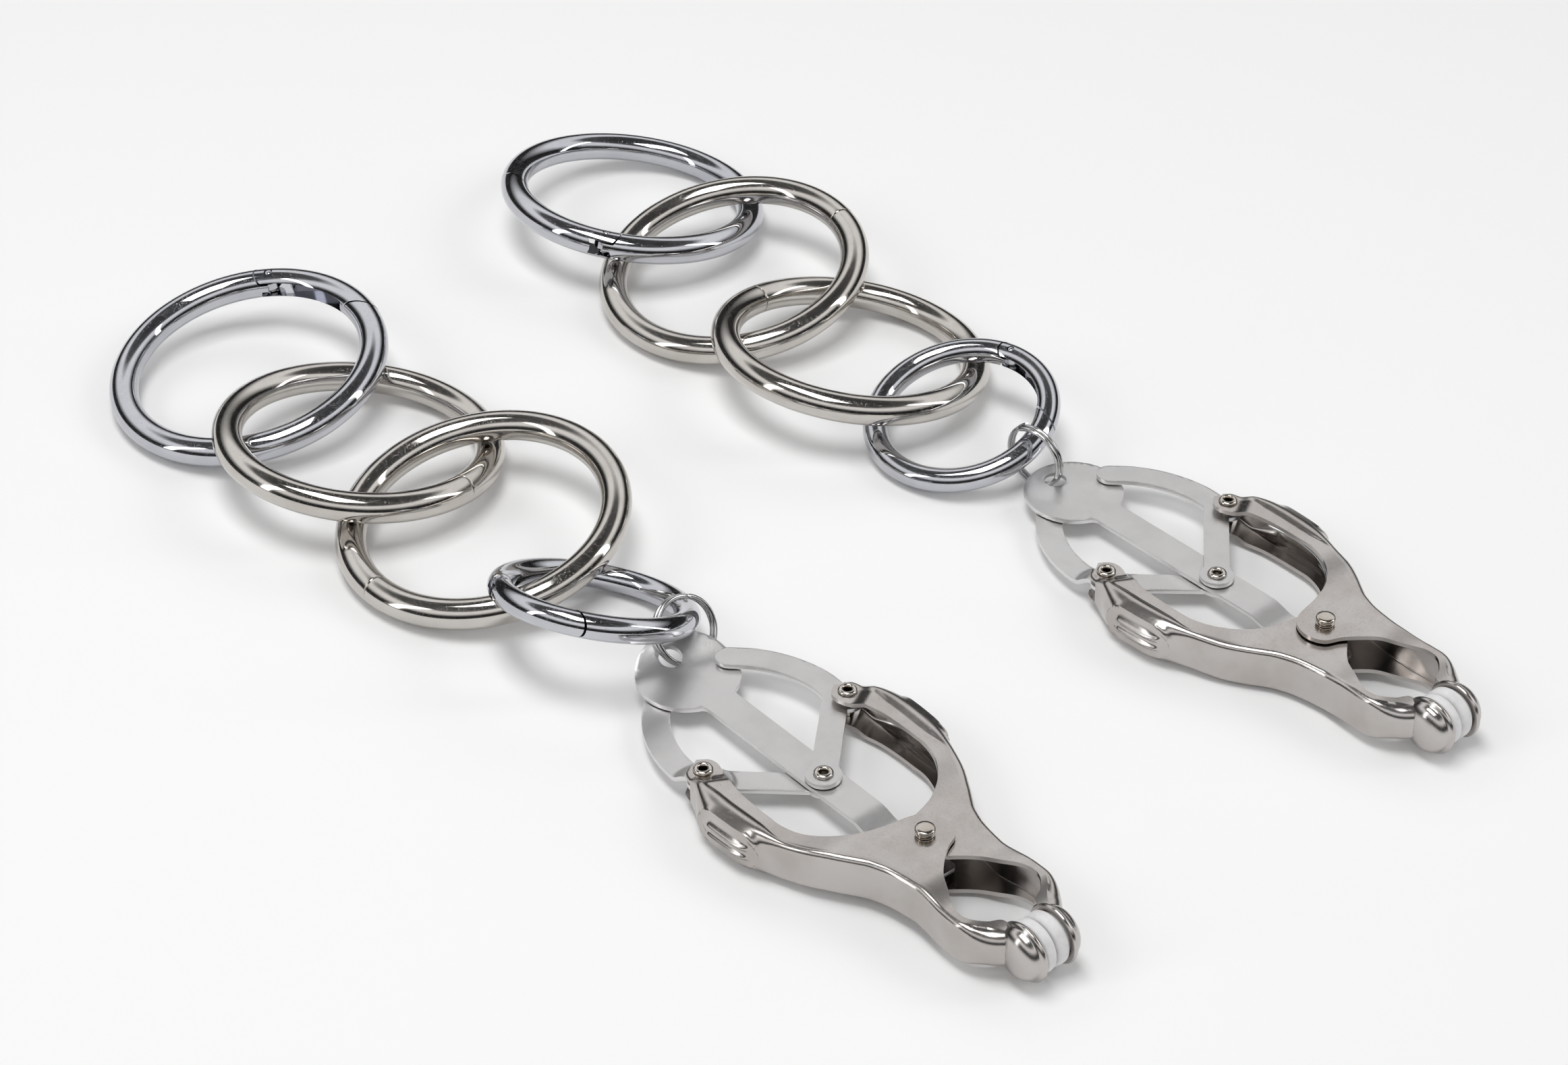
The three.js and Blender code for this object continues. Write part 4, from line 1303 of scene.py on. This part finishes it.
@dataclass
class Studio:
    """Pale floor, soft lights and the camera."""

    target: tuple[float, float, float]
    lens: float = 78.46
    distance: float = 0.5513
    azimuth: float = -40.6
    elevation: float = 37.5

    def build(self) -> None:
        """Makes the floor, the lights, the surroundings and the camera."""
        scene = bpy.context.scene
        scene.view_settings.view_transform = "Standard"
        scene.view_settings.look = "None"
        scene.view_settings.exposure = 0.0
        self.floor()
        self.surroundings()
        self.lamp("overhead", (-0.14, 0.02, 0.95), 0.62, 0.34, 4.6)
        self.lamp("left", (-0.95, 0.3, 0.5), 0.14, 0.9, 1.6)
        self.lamp("right", (0.75, -0.6, 0.5), 0.14, 0.9, 1.5)
        self.camera()

    def floor(self) -> None:
        """A plain pale floor."""
        recipe = Recipe("pale floor")
        recipe.set(Base_Color=(0.96, 0.96, 0.96, 1), Roughness=0.9, Specular_IOR_Level=0.0)
        made = Shop.piece("floor", [(-4, -4, 0), (4, -4, 0), (4, 4, 0), (-4, 4, 0)], [(0, 1, 2, 3)])
        made.data.transform(Matrix.Translation((0, 0, -0.0002)))
        made.data.materials.append(recipe.material)

    def surroundings(self) -> None:
        """A bright room with a darker band low down, for polished metal to mirror."""
        world = bpy.data.worlds.new("studio")
        bpy.context.scene.world = world
        world.use_nodes = True
        tree = world.node_tree
        where = tree.nodes.new("ShaderNodeTexCoord")
        split = tree.nodes.new("ShaderNodeSeparateXYZ")
        ramp = tree.nodes.new("ShaderNodeValToRGB")
        tree.links.new(where.outputs["Generated"], split.inputs[0])
        tree.links.new(split.outputs["Z"], ramp.inputs[0])
        first, last = ramp.color_ramp.elements
        first.color, last.color = (0.3, 0.3, 0.3, 1), (0.06, 0.06, 0.06, 1)
        middle = [(0.06, 0.03), (0.3, 0.02), (0.4, 0.35), (0.53, 1.0), (0.7, 1.05), (0.78, 0.12), (0.9, 0.06)]
        for place, shade in middle:
            ramp.color_ramp.elements.new(place).color = (shade, shade, shade, 1)
        tree.links.new(ramp.outputs[0], tree.nodes["Background"].inputs[0])
        tree.nodes["Background"].inputs[1].default_value = 1.0

    def lamp(self, name: str, spot: Sequence[float], wide: float, tall: float, power: float) -> None:
        """A soft lamp of that width, height and power that faces the object."""
        light = bpy.data.lights.new(name, "AREA")
        light.shape = "RECTANGLE"
        light.size, light.size_y, light.energy = wide, tall, power
        made = bpy.data.objects.new(name, light)
        made.location = spot
        made.rotation_euler = (-Vector(spot)).to_track_quat("-Z", "Y").to_euler()
        bpy.context.collection.objects.link(made)

    def camera(self) -> None:
        """The camera, aimed at the target."""
        camera = bpy.data.cameras.new("camera")
        camera.lens = self.lens
        camera.clip_start = 0.01
        made = bpy.data.objects.new("camera", camera)
        turn, rise = math.radians(self.azimuth), math.radians(self.elevation)
        aim = Vector((-math.sin(turn) * math.cos(rise), math.cos(turn) * math.cos(rise), -math.sin(rise)))
        made.location = Vector(self.target) - aim * self.distance
        made.rotation_euler = aim.to_track_quat("-Z", "Y").to_euler()
        bpy.context.collection.objects.link(made)
        bpy.context.scene.camera = made


WIRES = WireTree()
CHAINS = (
    Chain("a_", "left", 2.2, 66, 55, 4, 33, 31, (180.5, 285.5)),
    Chain("b_", "right", 0.0, 67, 72, 96, 35, 0, (98.0, 345.5)),
)


def main() -> None:
    """Builds both chains and the studio."""
    logging.basicConfig(level=logging.INFO, format="%(message)s")
    for chain in CHAINS:
        chain.build()
    pivot = CHAINS[0].joint("left_open")["pos_m"]
    Studio(target=(pivot[0] + 0.0376, pivot[1] + 0.0745, 0.0)).build()


if __name__ == "__main__":
    main()
